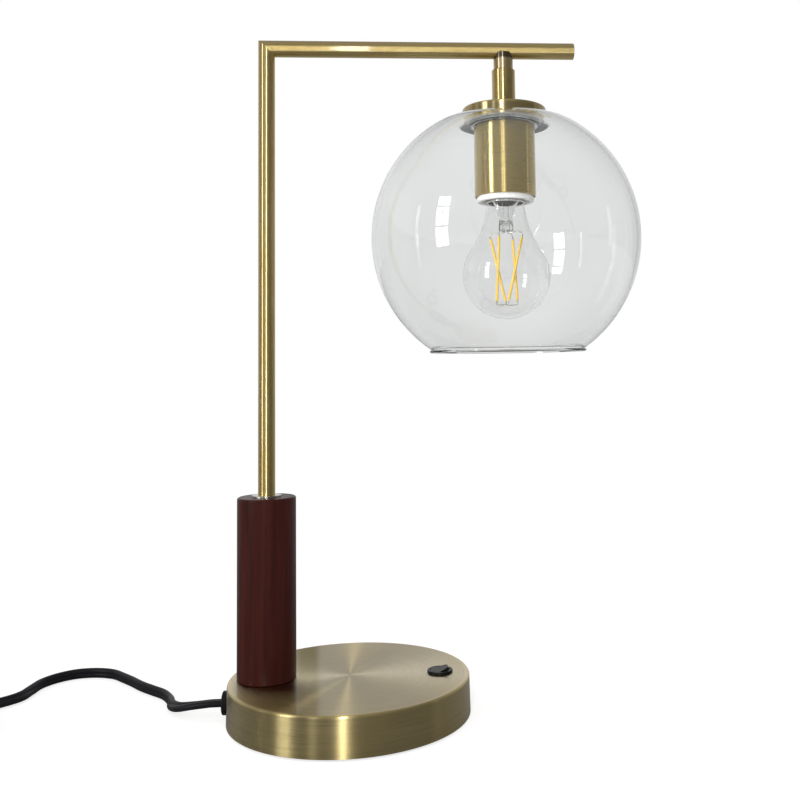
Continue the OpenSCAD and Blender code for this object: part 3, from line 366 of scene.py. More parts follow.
def make_tie(centre, in_r):
    """A woven strap round the coil, its end pressed down on its own outside."""
    lo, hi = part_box("cord_tie")[0].z / MM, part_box("cord_tie")[1].z / MM
    past = (STRAP_AT - START) / 360
    radii = [in_r + PITCH * abs(k + past - TURNS / 2) for k in range(7) if k + past < TURNS]
    inner = min(radii) - CORD_T / 2 - AIR_IN - STRAP_T / 2
    outer = max(radii) + CORD_T / 2 + AIR_OUT + STRAP_T / 2
    bottom, top = lo + STRAP_MID, hi - STRAP_MID
    ground, out_way, side = Vector((centre.x, centre.y, 0)), plan(STRAP_AT), plan(STRAP_AT + 90)
    mid_u, mid_v = (inner + outer) / 2, (bottom + top) / 2
    half_u, half_v = (outer - inner) / 2, (top - bottom) / 2

    def loop(a, grow=0.0):
        c, s = math.cos(a), math.sin(a)
        return (mid_u + (half_u + grow) * math.copysign(abs(c) ** STRAP_SQUARE, c),
                mid_v + (half_v + grow) * math.copysign(abs(s) ** STRAP_SQUARE, s))

    # Half of the band's section, with its raised edges, as (across, out)
    face = [(-4.5, -0.15), (-4.3, -0.38), (-3.6, -0.33), (0, -0.33), (3.6, -0.33), (4.3, -0.38), (4.5, -0.15)]
    section = face + [(-w, -d) for w, d in face]

    def band(points, closed):
        rings = []
        for i, p in enumerate(points):
            a = points[(i - 1) % len(points)] if closed else pick(points, i - 1)
            b = points[(i + 1) % len(points)] if closed else pick(points, i + 1)
            t = Vector((b[0] - a[0], b[1] - a[1]))
            t.normalize()
            nrm = Vector((t.y, -t.x))
            rings.append([ground + out_way * (p[0] + nrm.x * d) + upward(p[1] + nrm.y * d) + side * w
                          for w, d in section])
        return rings

    whole = [loop(2 * math.pi * i / 96) for i in range(96)]
    end = [loop(math.pi * (0.30 + 0.55 * i / 40), STRAP_LAP) for i in range(41)]
    parts = [skin(band(whole, True), closed_path=True), skin(band(end, False))]
    tie = piece("strap", *join(parts), "lamp", "switch_black", 50)
    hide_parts("cord_tie")
    return tie


# ---------------------------------------------------------------- shader nodes

class Nodes:
    """A node tree that is built node by node."""

    def __init__(self, tree):
        self.tree = tree
        tree.nodes.clear()

    def add(self, kind, inputs=None, **settings):
        node = self.tree.nodes.new("ShaderNode" + kind)
        for key, value in settings.items():
            setattr(node, key, value)
        for key, value in (inputs or {}).items():
            if isinstance(value, bpy.types.NodeSocket):
                self.tree.links.new(value, node.inputs[key])
            else:
                node.inputs[key].default_value = value
        return node

    def math(self, op, a, b=0.0):
        return self.add("Math", {0: a, 1: b}, operation=op).outputs[0]

    def plus(self, a, b):
        return self.math("ADD", a, b)

    def less(self, a, b):
        return self.math("SUBTRACT", a, b)

    def times(self, a, b):
        return self.math("MULTIPLY", a, b)

    def vec(self, op, a, b):
        return self.add("VectorMath", {0: a, 1: b}, operation=op).outputs[0]

    def coords(self):
        return self.add("TexCoord").outputs["Object"]

    def noise(self, vector, scale, detail, rough=0.55):
        inputs = {"Vector": vector, "Scale": scale, "Detail": detail, "Roughness": rough}
        return self.add("TexNoise", inputs).outputs["Fac"]

    def range(self, value, lo, hi, to_lo, to_hi):
        return self.add("MapRange", {0: value, 1: lo, 2: hi, 3: to_lo, 4: to_hi}).outputs[0]

    def ramp(self, value, stops):
        node = self.add("ValToRGB", {"Fac": value})
        marks = node.color_ramp.elements
        while len(marks) < len(stops):
            marks.new(0.5)
        for mark, (at, colour) in zip(marks, stops):
            mark.position = at
            mark.color = (*colour, 1)
        return node.outputs["Color"]

    def blend(self, factor, a, b):
        node = self.add("Mix", data_type="RGBA", blend_type="MIX")
        for key, value in ((0, factor), (6, a), (7, b)):
            if isinstance(value, bpy.types.NodeSocket):
                self.tree.links.new(value, node.inputs[key])
            else:
                node.inputs[key].default_value = value if key == 0 else (*value, 1)
        return node.outputs[2]

    def bump(self, height, strength, distance):
        return self.add("Bump", {"Height": height, "Strength": strength, "Distance": distance}).outputs[0]

    def kinds(self):
        """Light Path's outputs, and masks for rays that go straight or through glass, that come
        from a mirroring surface, and that come from a dull one."""
        ray = self.add("LightPath").outputs
        bounced = self.math("MINIMUM", self.plus(ray["Glossy Depth"], ray["Diffuse Depth"]), 1.0)
        soft = self.math("MINIMUM", ray["Diffuse Depth"], 1.0)
        return ray, self.less(1.0, bounced), self.less(bounced, soft), soft


class Shader(Nodes):
    """The nodes of a new material."""

    def __init__(self, name):
        self.mat = bpy.data.materials.new(name)
        self.mat.use_nodes = True
        super().__init__(self.mat.node_tree)

    def surface(self, inputs):
        bsdf = self.add("BsdfPrincipled", inputs)
        self.add("OutputMaterial", {"Surface": bsdf.outputs[0]})
        return self.mat


def scaled(colour, by):
    """A colour times a number, or times one number for each part, at most 1."""
    by = by if isinstance(by, tuple) else (by,) * 3
    return tuple(min(1, c * k) for c, k in zip(colour, by))


def round_coords(s, centre, axis):
    """Radius, height along the axis, and a direction round it; lengths are in metres."""
    v = s.vec("SUBTRACT", s.coords(), centre)
    parts = s.add("SeparateXYZ", {0: v}).outputs
    a, b, h = (parts[0], parts[1], parts[2]) if axis == "Z" else (parts[1], parts[2], parts[0])
    r = s.math("SQRT", s.plus(s.times(a, a), s.times(b, b)))
    safe = s.math("MAXIMUM", r, 0.0004)
    return r, h, s.math("DIVIDE", a, safe), s.math("DIVIDE", b, safe)


def brushed(name, colour, centre, axis="Z", rough=0.3, grain=1.0, rim=None, braze_and_shade=None, lacquer=0.6):
    """Metal brushed round its axis under a thin lacquer, a little uneven in its antique colour.

    rim is the radius, the height and the width of an edge along which a lighter colour is painted as a
    highlight, scorch the heights between which the metal darkens, partly the braze's discolouration at
    the joint and partly painted shade in the recess under the arm, both in millimetres."""
    s = Shader(name)
    r, h, ca, cb = round_coords(s, [c * MM for c in centre], axis)
    reach = s.plus(r, h)

    def lines(spread, pitch, detail):
        v = s.add("CombineXYZ", {0: s.times(ca, spread), 1: s.times(cb, spread), 2: s.times(reach, pitch)})
        return s.noise(v.outputs[0], 1.0, detail, 0.6)

    fine = lines(3.0 * grain, 5200, 3)
    wide = lines(1.6 * grain, 900, 4)
    streak = s.plus(s.times(fine, 0.6), s.times(wide, 0.4))
    cloud = s.noise(s.coords(), 26, 3, 0.5)
    swing = 0.45 * grain
    paint = s.ramp(s.range(streak, 0.34, 0.66, 0.5 - swing, 0.5 + swing),
                   [(0, scaled(colour, 0.78)), (1, scaled(colour, 1.18))])
    paint = s.blend(s.range(cloud, 0.42, 0.72, 0.0, 0.55), paint, scaled(colour, (1.04, 0.95, 0.82)))
    # A lighter colour painted along the rim: a painted highlight on the rolled edge
    if rim:
        near = s.math("SQRT", s.plus(s.math("POWER", s.less(r, rim[0] * MM), 2),
                                     s.math("POWER", s.less(h, rim[1] * MM), 2)))
        edge = s.range(near, rim[2] * 0.4 * MM, rim[2] * 1.4 * MM, 0.45, 0.0)
        paint = s.blend(edge, paint, scaled(colour, (1.5, 1.42, 1.15)))
    # Darkening up to the arm's underside: partly the braze's discolouration at the joint, partly painted
    # shade in the recess between stub and arm
    if braze_and_shade:
        near = s.plus(h, s.times(s.noise(s.coords(), 420, 3), 0.0016))
        braze_and_shade_amount = s.range(near, braze_and_shade[0] * MM, braze_and_shade[1] * MM, 0.0, 0.85)
        paint = s.blend(braze_and_shade_amount, paint, (0.035, 0.022, 0.012))
    gloss = s.plus(s.range(fine, 0.3, 0.7, rough - 0.05, rough + 0.07), s.range(cloud, 0.3, 0.7, -0.02, 0.03))
    tangent = s.add("Tangent", direction_type="RADIAL", axis=axis).outputs[0]
    return s.surface({"Base Color": paint, "Metallic": 1.0, "Roughness": gloss, "Anisotropic": 1.0,
                      "Anisotropic Rotation": 0.25, "Tangent": tangent,
                      "Normal": s.bump(streak, 0.22 * grain, 0.00002),
                      "Coat Weight": lacquer, "Coat Roughness": 0.05, "Coat IOR": 1.5})


def plain_metal(name, colour, rough):
    """Plated or pressed metal with fine drawing marks and faint tarnish."""
    s = Shader(name)
    v = s.coords()
    marks = s.noise(s.vec("MULTIPLY", v, (1, 1, 0.12)), 900, 3)
    cloud = s.noise(v, 90, 4)
    paint = s.ramp(s.range(cloud, 0.35, 0.7, 0, 1), [(0, scaled(colour, 0.86)), (1, colour)])
    paint = s.blend(s.range(marks, 0.5, 0.8, 0, 0.3), paint, scaled(colour, 0.6))
    return s.surface({"Base Color": paint, "Metallic": 1.0, "Normal": s.bump(marks, 0.15, 0.00002),
                      "Roughness": s.range(marks, 0.3, 0.7, rough - 0.06, rough + 0.1)})


def wood(name):
    """Dark stained mahogany with its grain and pores along the height, under a satin lacquer."""
    s = Shader(name)
    v = s.vec("SUBTRACT", s.coords(), (POLE_X * MM, 0, 0))

    def stretched(by):
        return s.vec("MULTIPLY", v, by)

    bend = s.noise(stretched((40, 40, 14)), 1.0, 2)
    shift = s.add("CombineXYZ", {0: s.times(bend, 1.4), 1: s.times(bend, 0.9)}).outputs[0]
    grain = s.noise(s.vec("ADD", stretched((230, 230, 7)), shift), 1.0, 5, 0.62)
    fibre = s.noise(stretched((1500, 1500, 34)), 1.0, 3, 0.6)
    pores = s.noise(stretched((2600, 2600, 150)), 1.0, 2, 0.5)
    paint = s.ramp(s.range(grain, 0.28, 0.74, 0, 1),
                   [(0, (0.026, 0.0048, 0.0036)), (0.45, (0.043, 0.0078, 0.0056)),
                    (1, (0.062, 0.0122, 0.0082))])
    paint = s.blend(s.range(fibre, 0.45, 0.75, 0, 0.25), paint, (0.024, 0.0045, 0.0035))
    pore = s.range(pores, 0.62, 0.72, 0, 1)
    paint = s.blend(s.times(pore, 0.5), paint, (0.012, 0.0028, 0.0022))
    height = s.less(s.times(grain, 0.5), s.times(pore, 0.5))
    return s.surface({"Base Color": paint, "Roughness": s.range(fibre, 0.3, 0.7, 0.30, 0.40),
                      "Normal": s.bump(height, 0.15, 0.00004), "Specular IOR Level": 0.11,
                      "Coat Weight": 0.04, "Coat Roughness": 0.2, "Coat IOR": 1.45})


def clear(name, tint, absorb, density, wave, wave_scale):
    """Clear glass, faintly wavy, that lets the lamps' light through."""
    s = Shader(name)
    v = s.coords()
    small = s.noise(s.vec("MULTIPLY", v, (1, 1, 3)), wave_scale * 4, 2)
    ripple = s.plus(s.noise(v, wave_scale, 2), s.times(small, 0.15))
    glass = s.add("BsdfPrincipled", {"Base Color": (*tint, 1), "Roughness": 0.0, "IOR": 1.5,
                                     "Transmission Weight": 1.0, "Normal": s.bump(ripple, wave, 0.002)})
    free = s.add("BsdfTransparent", {"Color": (*scaled(tint, 0.95), 1)})
    shadow = s.add("LightPath").outputs["Is Shadow Ray"]
    both = s.add("MixShader", {0: shadow, 1: glass.outputs[0], 2: free.outputs[0]})
    inner = s.add("VolumeAbsorption", {"Color": (*absorb, 1), "Density": density})
    s.add("OutputMaterial", {"Surface": both.outputs[0], "Volume": inner.outputs[0]})
    return s.mat


def moulded(name, colour, rough, scale=700, bump=0.12, worn=None, coat=0.0, level=0.5):
    """Moulded plastic or rubber with a fine surface grain and slightly uneven gloss."""
    s = Shader(name)
    v = s.coords()
    grain = s.noise(v, scale * 4, 3, 0.6)
    cloud = s.noise(v, scale / 8, 3)
    paint = s.ramp(s.range(cloud, 0.3, 0.7, 0, 1), [(0, scaled(colour, 0.82)), (1, worn or colour)])
    gloss = s.range(s.plus(grain, cloud), 0.7, 1.3, rough - 0.06, rough + 0.1)
    return s.surface({"Base Color": paint, "Roughness": gloss, "Normal": s.bump(grain, bump, 0.00004),
                      "Specular IOR Level": level, "Coat Weight": coat, "Coat Roughness": 0.12})


def woven(name):
    """Black strap with a fine plain weave."""
    s = Shader(name)
    v = s.coords()
    threads = {"Vector": v, "Scale": 520, "Distortion": 0.6}
    a, b = (s.add("TexWave", threads, bands_direction=way).outputs["Fac"] for way in "XZ")
    cloth = s.times(s.plus(a, 0.3), s.plus(b, 0.3))
    paint = s.ramp(s.plus(cloth, s.times(s.noise(v, 5200, 2), 0.3)),
                   [(0.1, (0.005, 0.005, 0.006)), (1, (0.020, 0.020, 0.022))])
    return s.surface({"Base Color": paint, "Roughness": 0.85, "Normal": s.bump(cloth, 0.5, 0.0002),
                      "Sheen Weight": 0.05, "Specular IOR Level": 0.2})


def cast(name):
    """Raw cast iron with a coarse skin."""
    s = Shader(name)
    rough = s.noise(s.coords(), 900, 5, 0.7)
    paint = s.ramp(rough, [(0.3, (0.055, 0.055, 0.06)), (0.7, (0.16, 0.16, 0.17))])
    return s.surface({"Base Color": paint, "Metallic": 0.7, "Roughness": 0.72,
                      "Normal": s.bump(rough, 0.7, 0.0004)})


def foam(name):
    """Dark foam with open cells."""
    s = Shader(name)
    cells = s.add("TexVoronoi", {"Vector": s.coords(), "Scale": 1600}).outputs["Distance"]
    paint = s.ramp(cells, [(0.1, (0.012, 0.012, 0.013)), (0.7, (0.05, 0.05, 0.052))])
    return s.surface({"Base Color": paint, "Roughness": 0.95, "Normal": s.bump(cells, 0.6, 0.0003)})


def phosphor(name):
    """The yellow-amber coat of an unlit light strip, with faint beads of its diodes below it."""
    s = Shader(name)
    v = s.coords()
    wave = s.add("TexWave", {"Vector": v, "Scale": 210, "Distortion": 0.3}, bands_direction="Z")
    beads = wave.outputs["Fac"]
    paint = s.ramp(s.plus(s.times(beads, 0.35), s.times(s.noise(v, 3000, 3), 0.65)),
                   [(0.2, (1.0, 0.52, 0.03)), (0.8, (1.0, 0.74, 0.10))])
    return s.surface({"Base Color": paint, "Roughness": 0.5, "Normal": s.bump(beads, 0.3, 0.0002),
                      "Subsurface Weight": 0.25, "Subsurface Radius": (0.0012, 0.0006, 0.0002),
                      "Subsurface Scale": 1.0})


# ---------------------------------------------------------------- globe

# The globe's radius, wall and crown; what is cut off above and below; the shoulder's radius; the
# lip's height and flare; the hole and its bevel; and how far the crown's faces stand off
SHADE_R, GLASS_T, CROWN_Z = half("glass_shade", 0), 2.6, high("glass_shade", 2)
CROWN_DROP, MOUTH_CUT, SHOULDER_R = 9.5, 16, 28
LIP_H, LIP_FLARE, HOLE_R, HOLE_BEVEL, CROWN_AIR = 2.2, 1, 20, 0.4, 0.06
SHADE_Z = CROWN_Z - (SHADE_R - CROWN_DROP)


def globe_outline(depth, flat):
    """Outline of the globe at a depth below its outer face, its crown's flat at a depth of its own."""
    r, shoulder, crown = SHADE_R - depth, SHOULDER_R - depth, SHADE_R - CROWN_DROP - flat
    cx = math.sqrt((r - shoulder) ** 2 - (crown - shoulder) ** 2)
    turn_in = math.degrees(math.atan2(crown - shoulder, cx))
    turn_out = -math.degrees(math.asin((SHADE_R - MOUTH_CUT) / r))
    return arc((0, 0), r, turn_out, turn_in, 72) + arc((cx, crown - shoulder), shoulder, turn_in, 90, 12)[1:]


def make_shade():
    """The globe with its flat crown, its hole and its lip."""
    # The crown's faces stand a little off the gasket and the washer, so that light finds its way in
    outer, inner = globe_outline(0, CROWN_AIR), globe_outline(GLASS_T, GLASS_T - CROWN_AIR)
    rim_r = GLASS_T / 2
    rim = (outer[0][0] + LIP_FLARE - rim_r, -(SHADE_R - MOUTH_CUT) - LIP_H + rim_r)
    top, bottom = outer[-1][1], inner[-1][1]
    hole = [(HOLE_R + HOLE_BEVEL, top), (HOLE_R, top - HOLE_BEVEL), (HOLE_R, bottom + HOLE_BEVEL),
            (HOLE_R + HOLE_BEVEL, bottom)]
    neck_out, neck_in = ([(mix(line[0][0], rim[0] + way * rim_r, 0.35), line[0][1] - 0.5)]
                         for line, way in ((outer, 1), (inner, -1)))
    profile = outer + hole + inner[::-1] + neck_in + arc(rim, rim_r, 180, 360, 12) + neck_out
    shade = piece("globe", *turned([(r, z + SHADE_Z) for r, z in profile], 224), "lamp", "shade_glass", 50)
    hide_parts("glass_shade")
    return shade


# ---------------------------------------------------------------- bulb

# The bulb's top, radius, length and wall; the neck's radius and that of the curve into it
BULB_TOP, BULB_R, BULB_LEN, BULB_T = high("bulb_end_contact", 2), half("bulb_glass", 0), 105, 0.8
NECK_R, NECK_CURVE = 12.6, 60
BULB_LOW = BULB_TOP - BULB_LEN
BULB_Z = BULB_LOW + BULB_R

# The bulb's cap: heights of its rim and shoulder, its radius and the tip's, the wall at the tip, and
# how far the inside lies in from the thread's crests
CAP_Z, CAP_SHOULDER = BULB_TOP - 27, BULB_TOP - 6.5
CAP_R, TIP_R, CAP_T, CAP_WALL = half("bulb_cap", 0), 9, 0.3, 0.9

# The light strips: length, radius of their ring below and above, turn between the two, and heights
STRIP_LEN, LOW_R, HIGH_R, STRIP_TURN = 46, 7, 11.7, 62
STRIP_Z = BULB_LOW + 11
LEAN = (HIGH_R * plan(STRIP_TURN) - LOW_R * plan(0)).length
STRIP_TOP = STRIP_Z + math.sqrt(STRIP_LEN ** 2 - LEAN ** 2)

# The stem's foot, top and wall, and the radii of the leads
FOOT_Z, STEM_TOP, STEM_T = STRIP_TOP + 3.2, CAP_Z + 4, 0.8
WIRE_R, FINE_WIRE_R = 0.3, 0.22

# The medium screw thread's pitch, its depth in the cap and in the shell, and the shell's mean radius
# and wall
THREAD_PITCH, CAP_THREAD, SHELL_THREAD = 3.63, 0.75, 0.12
SHELL_R, SHELL_T = 13.75, 0.26


def bulb_outline(depth):
    """Outline of the bulb's glass at a depth below its outer face, from the low end up."""
    nx = NECK_R + NECK_CURVE
    nz = BULB_Z + math.sqrt((BULB_R + NECK_CURVE) ** 2 - nx ** 2)
    meet = math.degrees(math.atan2(nz - BULB_Z, nx))
    top = CAP_Z + 6
    end = min(nz, top)
    z0 = BULB_Z + (BULB_R - depth) * math.sin(math.radians(meet))
    out = arc((0, BULB_Z), BULB_R - depth, -90, meet, 48)
    out[0] = (0, out[0][1])
    for i in range(1, 25):
        z = mix(z0, end, i / 24)
        out.append((nx - math.sqrt((NECK_CURVE + depth) ** 2 - (nz - z) ** 2), z))
    return out + [(NECK_R - depth, top)]


def strip_low(k):
    """The low end of light strip 0 to 3."""
    return AXIS + LOW_R * plan(90 * k) + upward(STRIP_Z)


def strip_high(k):
    """The high end of light strip 0 to 3."""
    return AXIS + HIGH_R * plan(90 * k + STRIP_TURN) + upward(STRIP_TOP)


def make_stem():
    """A flared stem: hollow tube above, pressed flat where the leads pass through."""
    n, top, foot = 64, STEM_TOP, FOOT_Z
    flare = [(top, 11.6, 11.6), (top - 0.8, 11.0, 11.0), (top - 2.2, 9.4, 9.4), (top - 5, 7.4, 7.4),
             (top - 9, 6.0, 6.0), (top - 13, 5.1, 5.1), (foot + 9, 4.4, 4.3), (foot + 6.5, 4.5, 3.4),
             (foot + 4.5, 4.8, 2.3), (foot + 1.6, 4.9, 1.9), (foot + 0.5, 4.7, 1.8), (foot, 4.1, 1.4)]

    def oval(z, a, b):
        return [AXIS + Vector((a * math.cos(2 * math.pi * i / n), b * math.sin(2 * math.pi * i / n), z))
                for i in range(n)]

    outside = [oval(z, a, b) for z, a, b in flare]
    hollow = [oval(z + 0.1, a - STEM_T, b - STEM_T) for z, a, b in flare[:7]]
    for a in (20, 40, 60, 75, 87):
        c, s = math.cos(math.radians(a)), math.sin(math.radians(a))
        hollow.append(oval(foot + 9.1 - 3.2 * s, 3.55 * c, 3.45 * c))
    verts, faces = skin(hollow[::-1] + outside, caps=False)
    faces += [tuple(range(n)), tuple(range(len(verts) - n, len(verts)))]
    stem = piece("bulb_flare", verts, faces, "bulb", "bulb_glass", 50)
    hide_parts("bulb_stem")
    return stem


def make_leads():
    """Leads through the pinch and on to the strips, and the two bridges below, as bent round wire."""
    def wire(points, r=WIRE_R):
        return skin(swept(curve_through(points, 6), round_section(r, 10), ref=plan(37)))

    parts = []
    for x in (-2.1, 2.1):
        parts.append(wire([AXIS + Vector((x, 0, FOOT_Z + 1.2)), AXIS + Vector((x, 0, FOOT_Z + 7)),
                           AXIS + Vector((0.8 * x, 0.5, STEM_TOP - 8)),
                           AXIS + Vector((1.4 * x, 0.3, STEM_TOP + 3))], FINE_WIRE_R))
    for k in range(4):
        top, way = strip_high(k), (strip_high(k) - strip_low(k)).normalized()
        turn = plan(90 * k + STRIP_TURN)
        root = AXIS + Vector((2.6 * turn.x, 0.9 * turn.y, FOOT_Z + 1.5))
        parts.append(wire([top - 1.2 * way, top + 1.1 * way, AXIS + 8.2 * turn + upward(FOOT_Z - 0.5),
                           root - upward(2.6), root]))
    for k in (0, 2):
        a, b = strip_low(k), strip_low(k + 1)
        way_a, way_b = (strip_high(k) - a).normalized(), (strip_high(k + 1) - b).normalized()
        parts.append(wire([a + 1.2 * way_a, a - 1.0 * way_a, (a + b) / 2 - upward(1.5),
                           b - 1.0 * way_b, b + 1.2 * way_b]))
    leads = piece("bulb_leads", *join(parts), "bulb", "nickel", 60)
    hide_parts("bulb_support_wires")
    return leads


def make_strips():
    """Four coated light strips that lean round the axis, and their metal tips."""
    # The coat's outline near either end, as (distance from the end, radius)
    ends = [(1.3, 0.4), (1.45, 0.72), (1.8, 0.86), (2.6, 0.9)]
    coat = ends + [(STRIP_LEN / 2, 0.88)] + [(STRIP_LEN - s, r) for s, r in ends[::-1]]
    coats, tips = [], []
    for k in range(4):
        a, b = strip_low(k), strip_high(k)
        coats.append(skin(along(a, b, coat)))
        for s0, s1 in ((0, 2.2), (STRIP_LEN - 2.2, STRIP_LEN)):
            tips.append(skin(along(a, b, [(s0, 0.35), (s0 + 0.1, 0.55), (s1 - 0.1, 0.55), (s1, 0.35)], 12)))
    strips = piece("light_strips", *join(coats), "bulb", "strip_amber", 60)
    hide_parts("bulb_filaments")
    return strips, piece("strip_tips", *join(tips), "bulb", "nickel", 40)


def thread(mean, depth, z0, z1):
    """A rolled thread on the wall of a mean radius, that fades out at two heights."""
    def shape(r, z, a):
        if abs(r - mean) > 0.3:
            return r, z
        fade = smooth((z - z0) / 2.0) * smooth((z1 - z) / 2.0)
        wave = math.cos(2 * math.pi * (z / THREAD_PITCH - a / (2 * math.pi)))
        return r + depth * fade * (wave - 1) / 2, z
    return shape


def make_cap():
    """The bulb's screw cap with its rolled thread."""
    shoulder, dome_h, steps = CAP_SHOULDER, 3, 64
    wall = [(CAP_R, mix(CAP_Z + 0.4, shoulder, i / steps)) for i in range(steps + 1)]
    dome = [(mix(CAP_R, TIP_R, smooth(i / 8)), shoulder + dome_h * math.sin(math.radians(90) * i / 8) ** 1.2)
            for i in range(1, 9)]
    inside = [(TIP_R - CAP_T, shoulder + dome_h), (CAP_R - CAP_WALL, shoulder - 0.5),
              (CAP_R - CAP_WALL, CAP_Z), (CAP_R - 0.2, CAP_Z)]
    shape = thread(CAP_R, CAP_THREAD, CAP_Z + 4, shoulder)
    cap = piece("bulb_screw_cap", *turned(wall + dome + inside, 96, shape), "bulb", "bulb_metal", 45)
    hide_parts("bulb_cap")
    return cap


def make_shell():
    """The holder's screw shell, with a shallow thread that matches the cap's."""
    lo, hi = (corner.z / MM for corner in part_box("holder_shell"))
    wall = [(SHELL_R + SHELL_T / 2, mix(lo, hi, i / 48)) for i in range(49)]
    back = [(SHELL_R - SHELL_T / 2, mix(hi, lo, i / 48)) for i in range(49)]
    shape = thread(SHELL_R, SHELL_THREAD, lo, hi)
    shell = piece("holder_screw_shell", *turned(wall + back, 96, shape), "lamp", "brass_plain", 45)
    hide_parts("holder_shell")
    return shell


def make_bulb():
    """The bulb's glass, what is inside it, its cap, and the holder's shell round the cap."""
    profile = bulb_outline(0) + bulb_outline(BULB_T)[::-1]
    glass = piece("bulb_envelope", *turned(profile, 160), "bulb", "bulb_glass", 50)
    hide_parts("bulb_glass")
    made = {"glass": glass, "stem": make_stem(), "leads": make_leads()}
    made["strips"], made["tips"] = make_strips()
    made["cap"], made["shell"] = make_cap(), make_shell()
    return made


# ---------------------------------------------------------------- stage

def make_floor():
    """A pale floor, which also glows a little so that it looks white."""
    bm = bmesh.new()
    bmesh.ops.create_circle(bm, cap_ends=True, segments=96, radius=9)
    mesh = bpy.data.meshes.new("floor")
    bm.to_mesh(mesh)
    bm.free()
    floor = bpy.data.objects.new("floor", mesh)
    floor.location.z = -0.0001
    scene.collection.objects.link(floor)
    s = Shader("floor_paper")
    ray, straight, shiny, soft = s.kinds()
    level = s.plus(s.less(0.4, s.times(shiny, 0.16)), s.times(soft, 0.4))
    shade = s.times(s.range(s.noise(s.coords(), 300, 3), 0.2, 0.8, 0.95, 1.0), level)
    matt = s.add("BsdfDiffuse", {"Color": s.add("CombineColor", {0: shade, 1: shade, 2: shade}).outputs[0]})
    through = s.times(ray["Is Transmission Ray"], 0.22)
    away = s.add("SeparateXYZ", {0: s.coords()}).outputs[1]
    behind = s.range(away, 0.08, 0.45, 0.0, 0.22)
    in_glass = s.times(s.math("MINIMUM", ray["Transmission Depth"], 1.0), 0.42)
    glow = s.plus(s.times(straight, s.less(0.7, through)), s.times(shiny, s.plus(behind, in_glass)))
    light = s.add("Emission", {"Color": (1, 1, 1, 1), "Strength": glow})
    both = s.add("AddShader", {0: matt.outputs[0], 1: light.outputs[0]})
    s.add("OutputMaterial", {"Surface": both.outputs[0]})
    mesh.materials.append(s.mat)


def make_world():
    """A white backdrop for what is seen straight, and a room of its own for what metal mirrors."""
    world = bpy.data.worlds.new("studio")
    scene.world = world
    world.use_nodes = True
    s = Nodes(world.node_tree)
    x, y, z = s.add("SeparateXYZ", {0: s.add("TexCoord").outputs["Generated"]}).outputs

    # Seen in metal: a pale backdrop behind the object, with a dark curtain, and a darker room in front
    behind = s.range(y, -0.15, 0.4, 0.0, 1.0)
    front = s.times(s.range(z, 0.0, 0.9, 0.13, 0.5), s.range(x, -0.4, 0.6, 1.25, 0.8))
    across = s.math("DIVIDE", x, s.math("MAXIMUM", y, 0.05))
    curtain = s.times(s.range(across, -0.118, -0.110, 0.0, 1.0), s.range(across, -0.096, -0.090, 1.0, 0.0))
    sides = s.times(s.range(x, 0.3, 0.75, 1.0, 0.55), s.range(x, -0.75, -0.3, 0.8, 1.0))
    backdrop = s.times(s.range(z, 0.35, 0.75, 0.85, 0.4), s.times(sides, s.less(1.0, s.times(curtain, 0.85))))
    room = s.plus(s.times(front, s.less(1.0, behind)), s.times(backdrop, behind))

    ray, straight, shiny, soft = s.kinds()
    through = s.times(ray["Is Transmission Ray"], s.range(z, 0.3, 0.7, 0.17, 0.6))
    seen = s.times(straight, s.less(1.0, through))
    level = s.plus(s.plus(seen, s.times(shiny, room)), s.times(soft, 0.78))
    back = s.add("Background", {"Color": (1, 1, 1, 1), "Strength": level})
    s.add("OutputWorld", {"Surface": back.outputs[0]})
    world.cycles.sampling_method = "NONE"


def lamp_panel(name, at, aim, width, tall, radiance, others=(), state="EXCLUDE"):
    """A soft panel at a place, facing another, that leaves out the others or lights only them."""
    at, target = Vector(at) * MM, Vector(aim) * MM
    data = bpy.data.lights.new(name, "AREA")
    data.shape = "RECTANGLE"
    data.size, data.size_y = width * MM, tall * MM
    data.energy = radiance * math.pi * width * tall * MM * MM
    obj = bpy.data.objects.new(name, data)
    turn = (at - target).to_track_quat("Z", "Y").to_matrix().to_4x4()
    obj.matrix_world = Matrix.Translation(at) @ turn
    obj.visible_camera = False
    scene.collection.objects.link(obj)
    if others:
        group = bpy.data.collections.new(name + "_objects")
        for other in others:
            group.objects.link(other)
        obj.light_linking.receiver_collection = group
        for link in group.collection_objects:
            link.light_linking.link_state = state


# What the panels stand round and face, and how far off the far ones are, in millimetres
LIT_X, FAR = 20, 1500


def upright(name, azimuth, distance, height, width, tall, radiance, others=(), state="EXCLUDE"):
    """An upright panel; azimuth 0 is towards the camera's side, positive to the right."""
    a = math.radians(azimuth)
    at = (LIT_X + distance * math.sin(a), -distance * math.cos(a), height)
    lamp_panel(name, at, (LIT_X, 0, height), width, tall, radiance, others, state)


def make_lights(glass, dull):
    """A window of six panes on the left, a tall strip beside the camera, a low panel in front, a
    faint fill and thin edges; the dull pieces get a weaker strip of their own."""
    for col in (-1, 1):
        for bottom, top in ((60, 430), (475, 845), (890, 1100)):
            upright(f"pane_{col}_{bottom}", -56.5 + col * 3.1, FAR, (bottom + top) / 2, 128, top - bottom, 9)
    upright("strip", -4.6, 690, 470, 50, 900, 22, glass + dull)
    upright("strip_soft", -4.6, 690, 470, 50, 900, 4, dull, "INCLUDE")
    upright("fill", -30, FAR, 500, 150, 1000, 2.0, glass + dull)
    upright("left_edge", -82, FAR, 520, 26, 760, 5.0)
    upright("right_edge", 88, FAR, 480, 26, 560, 3.0)
    lamp_panel("table_front", (60, -700, 8), (60, -690, 500), 900, 200, 2.4, glass + dull)


# ---------------------------------------------------------------- materials on everything

def dress(obj, mat):
    """One material for a whole piece."""
    obj.data.materials.clear()
    obj.data.materials.append(mat)


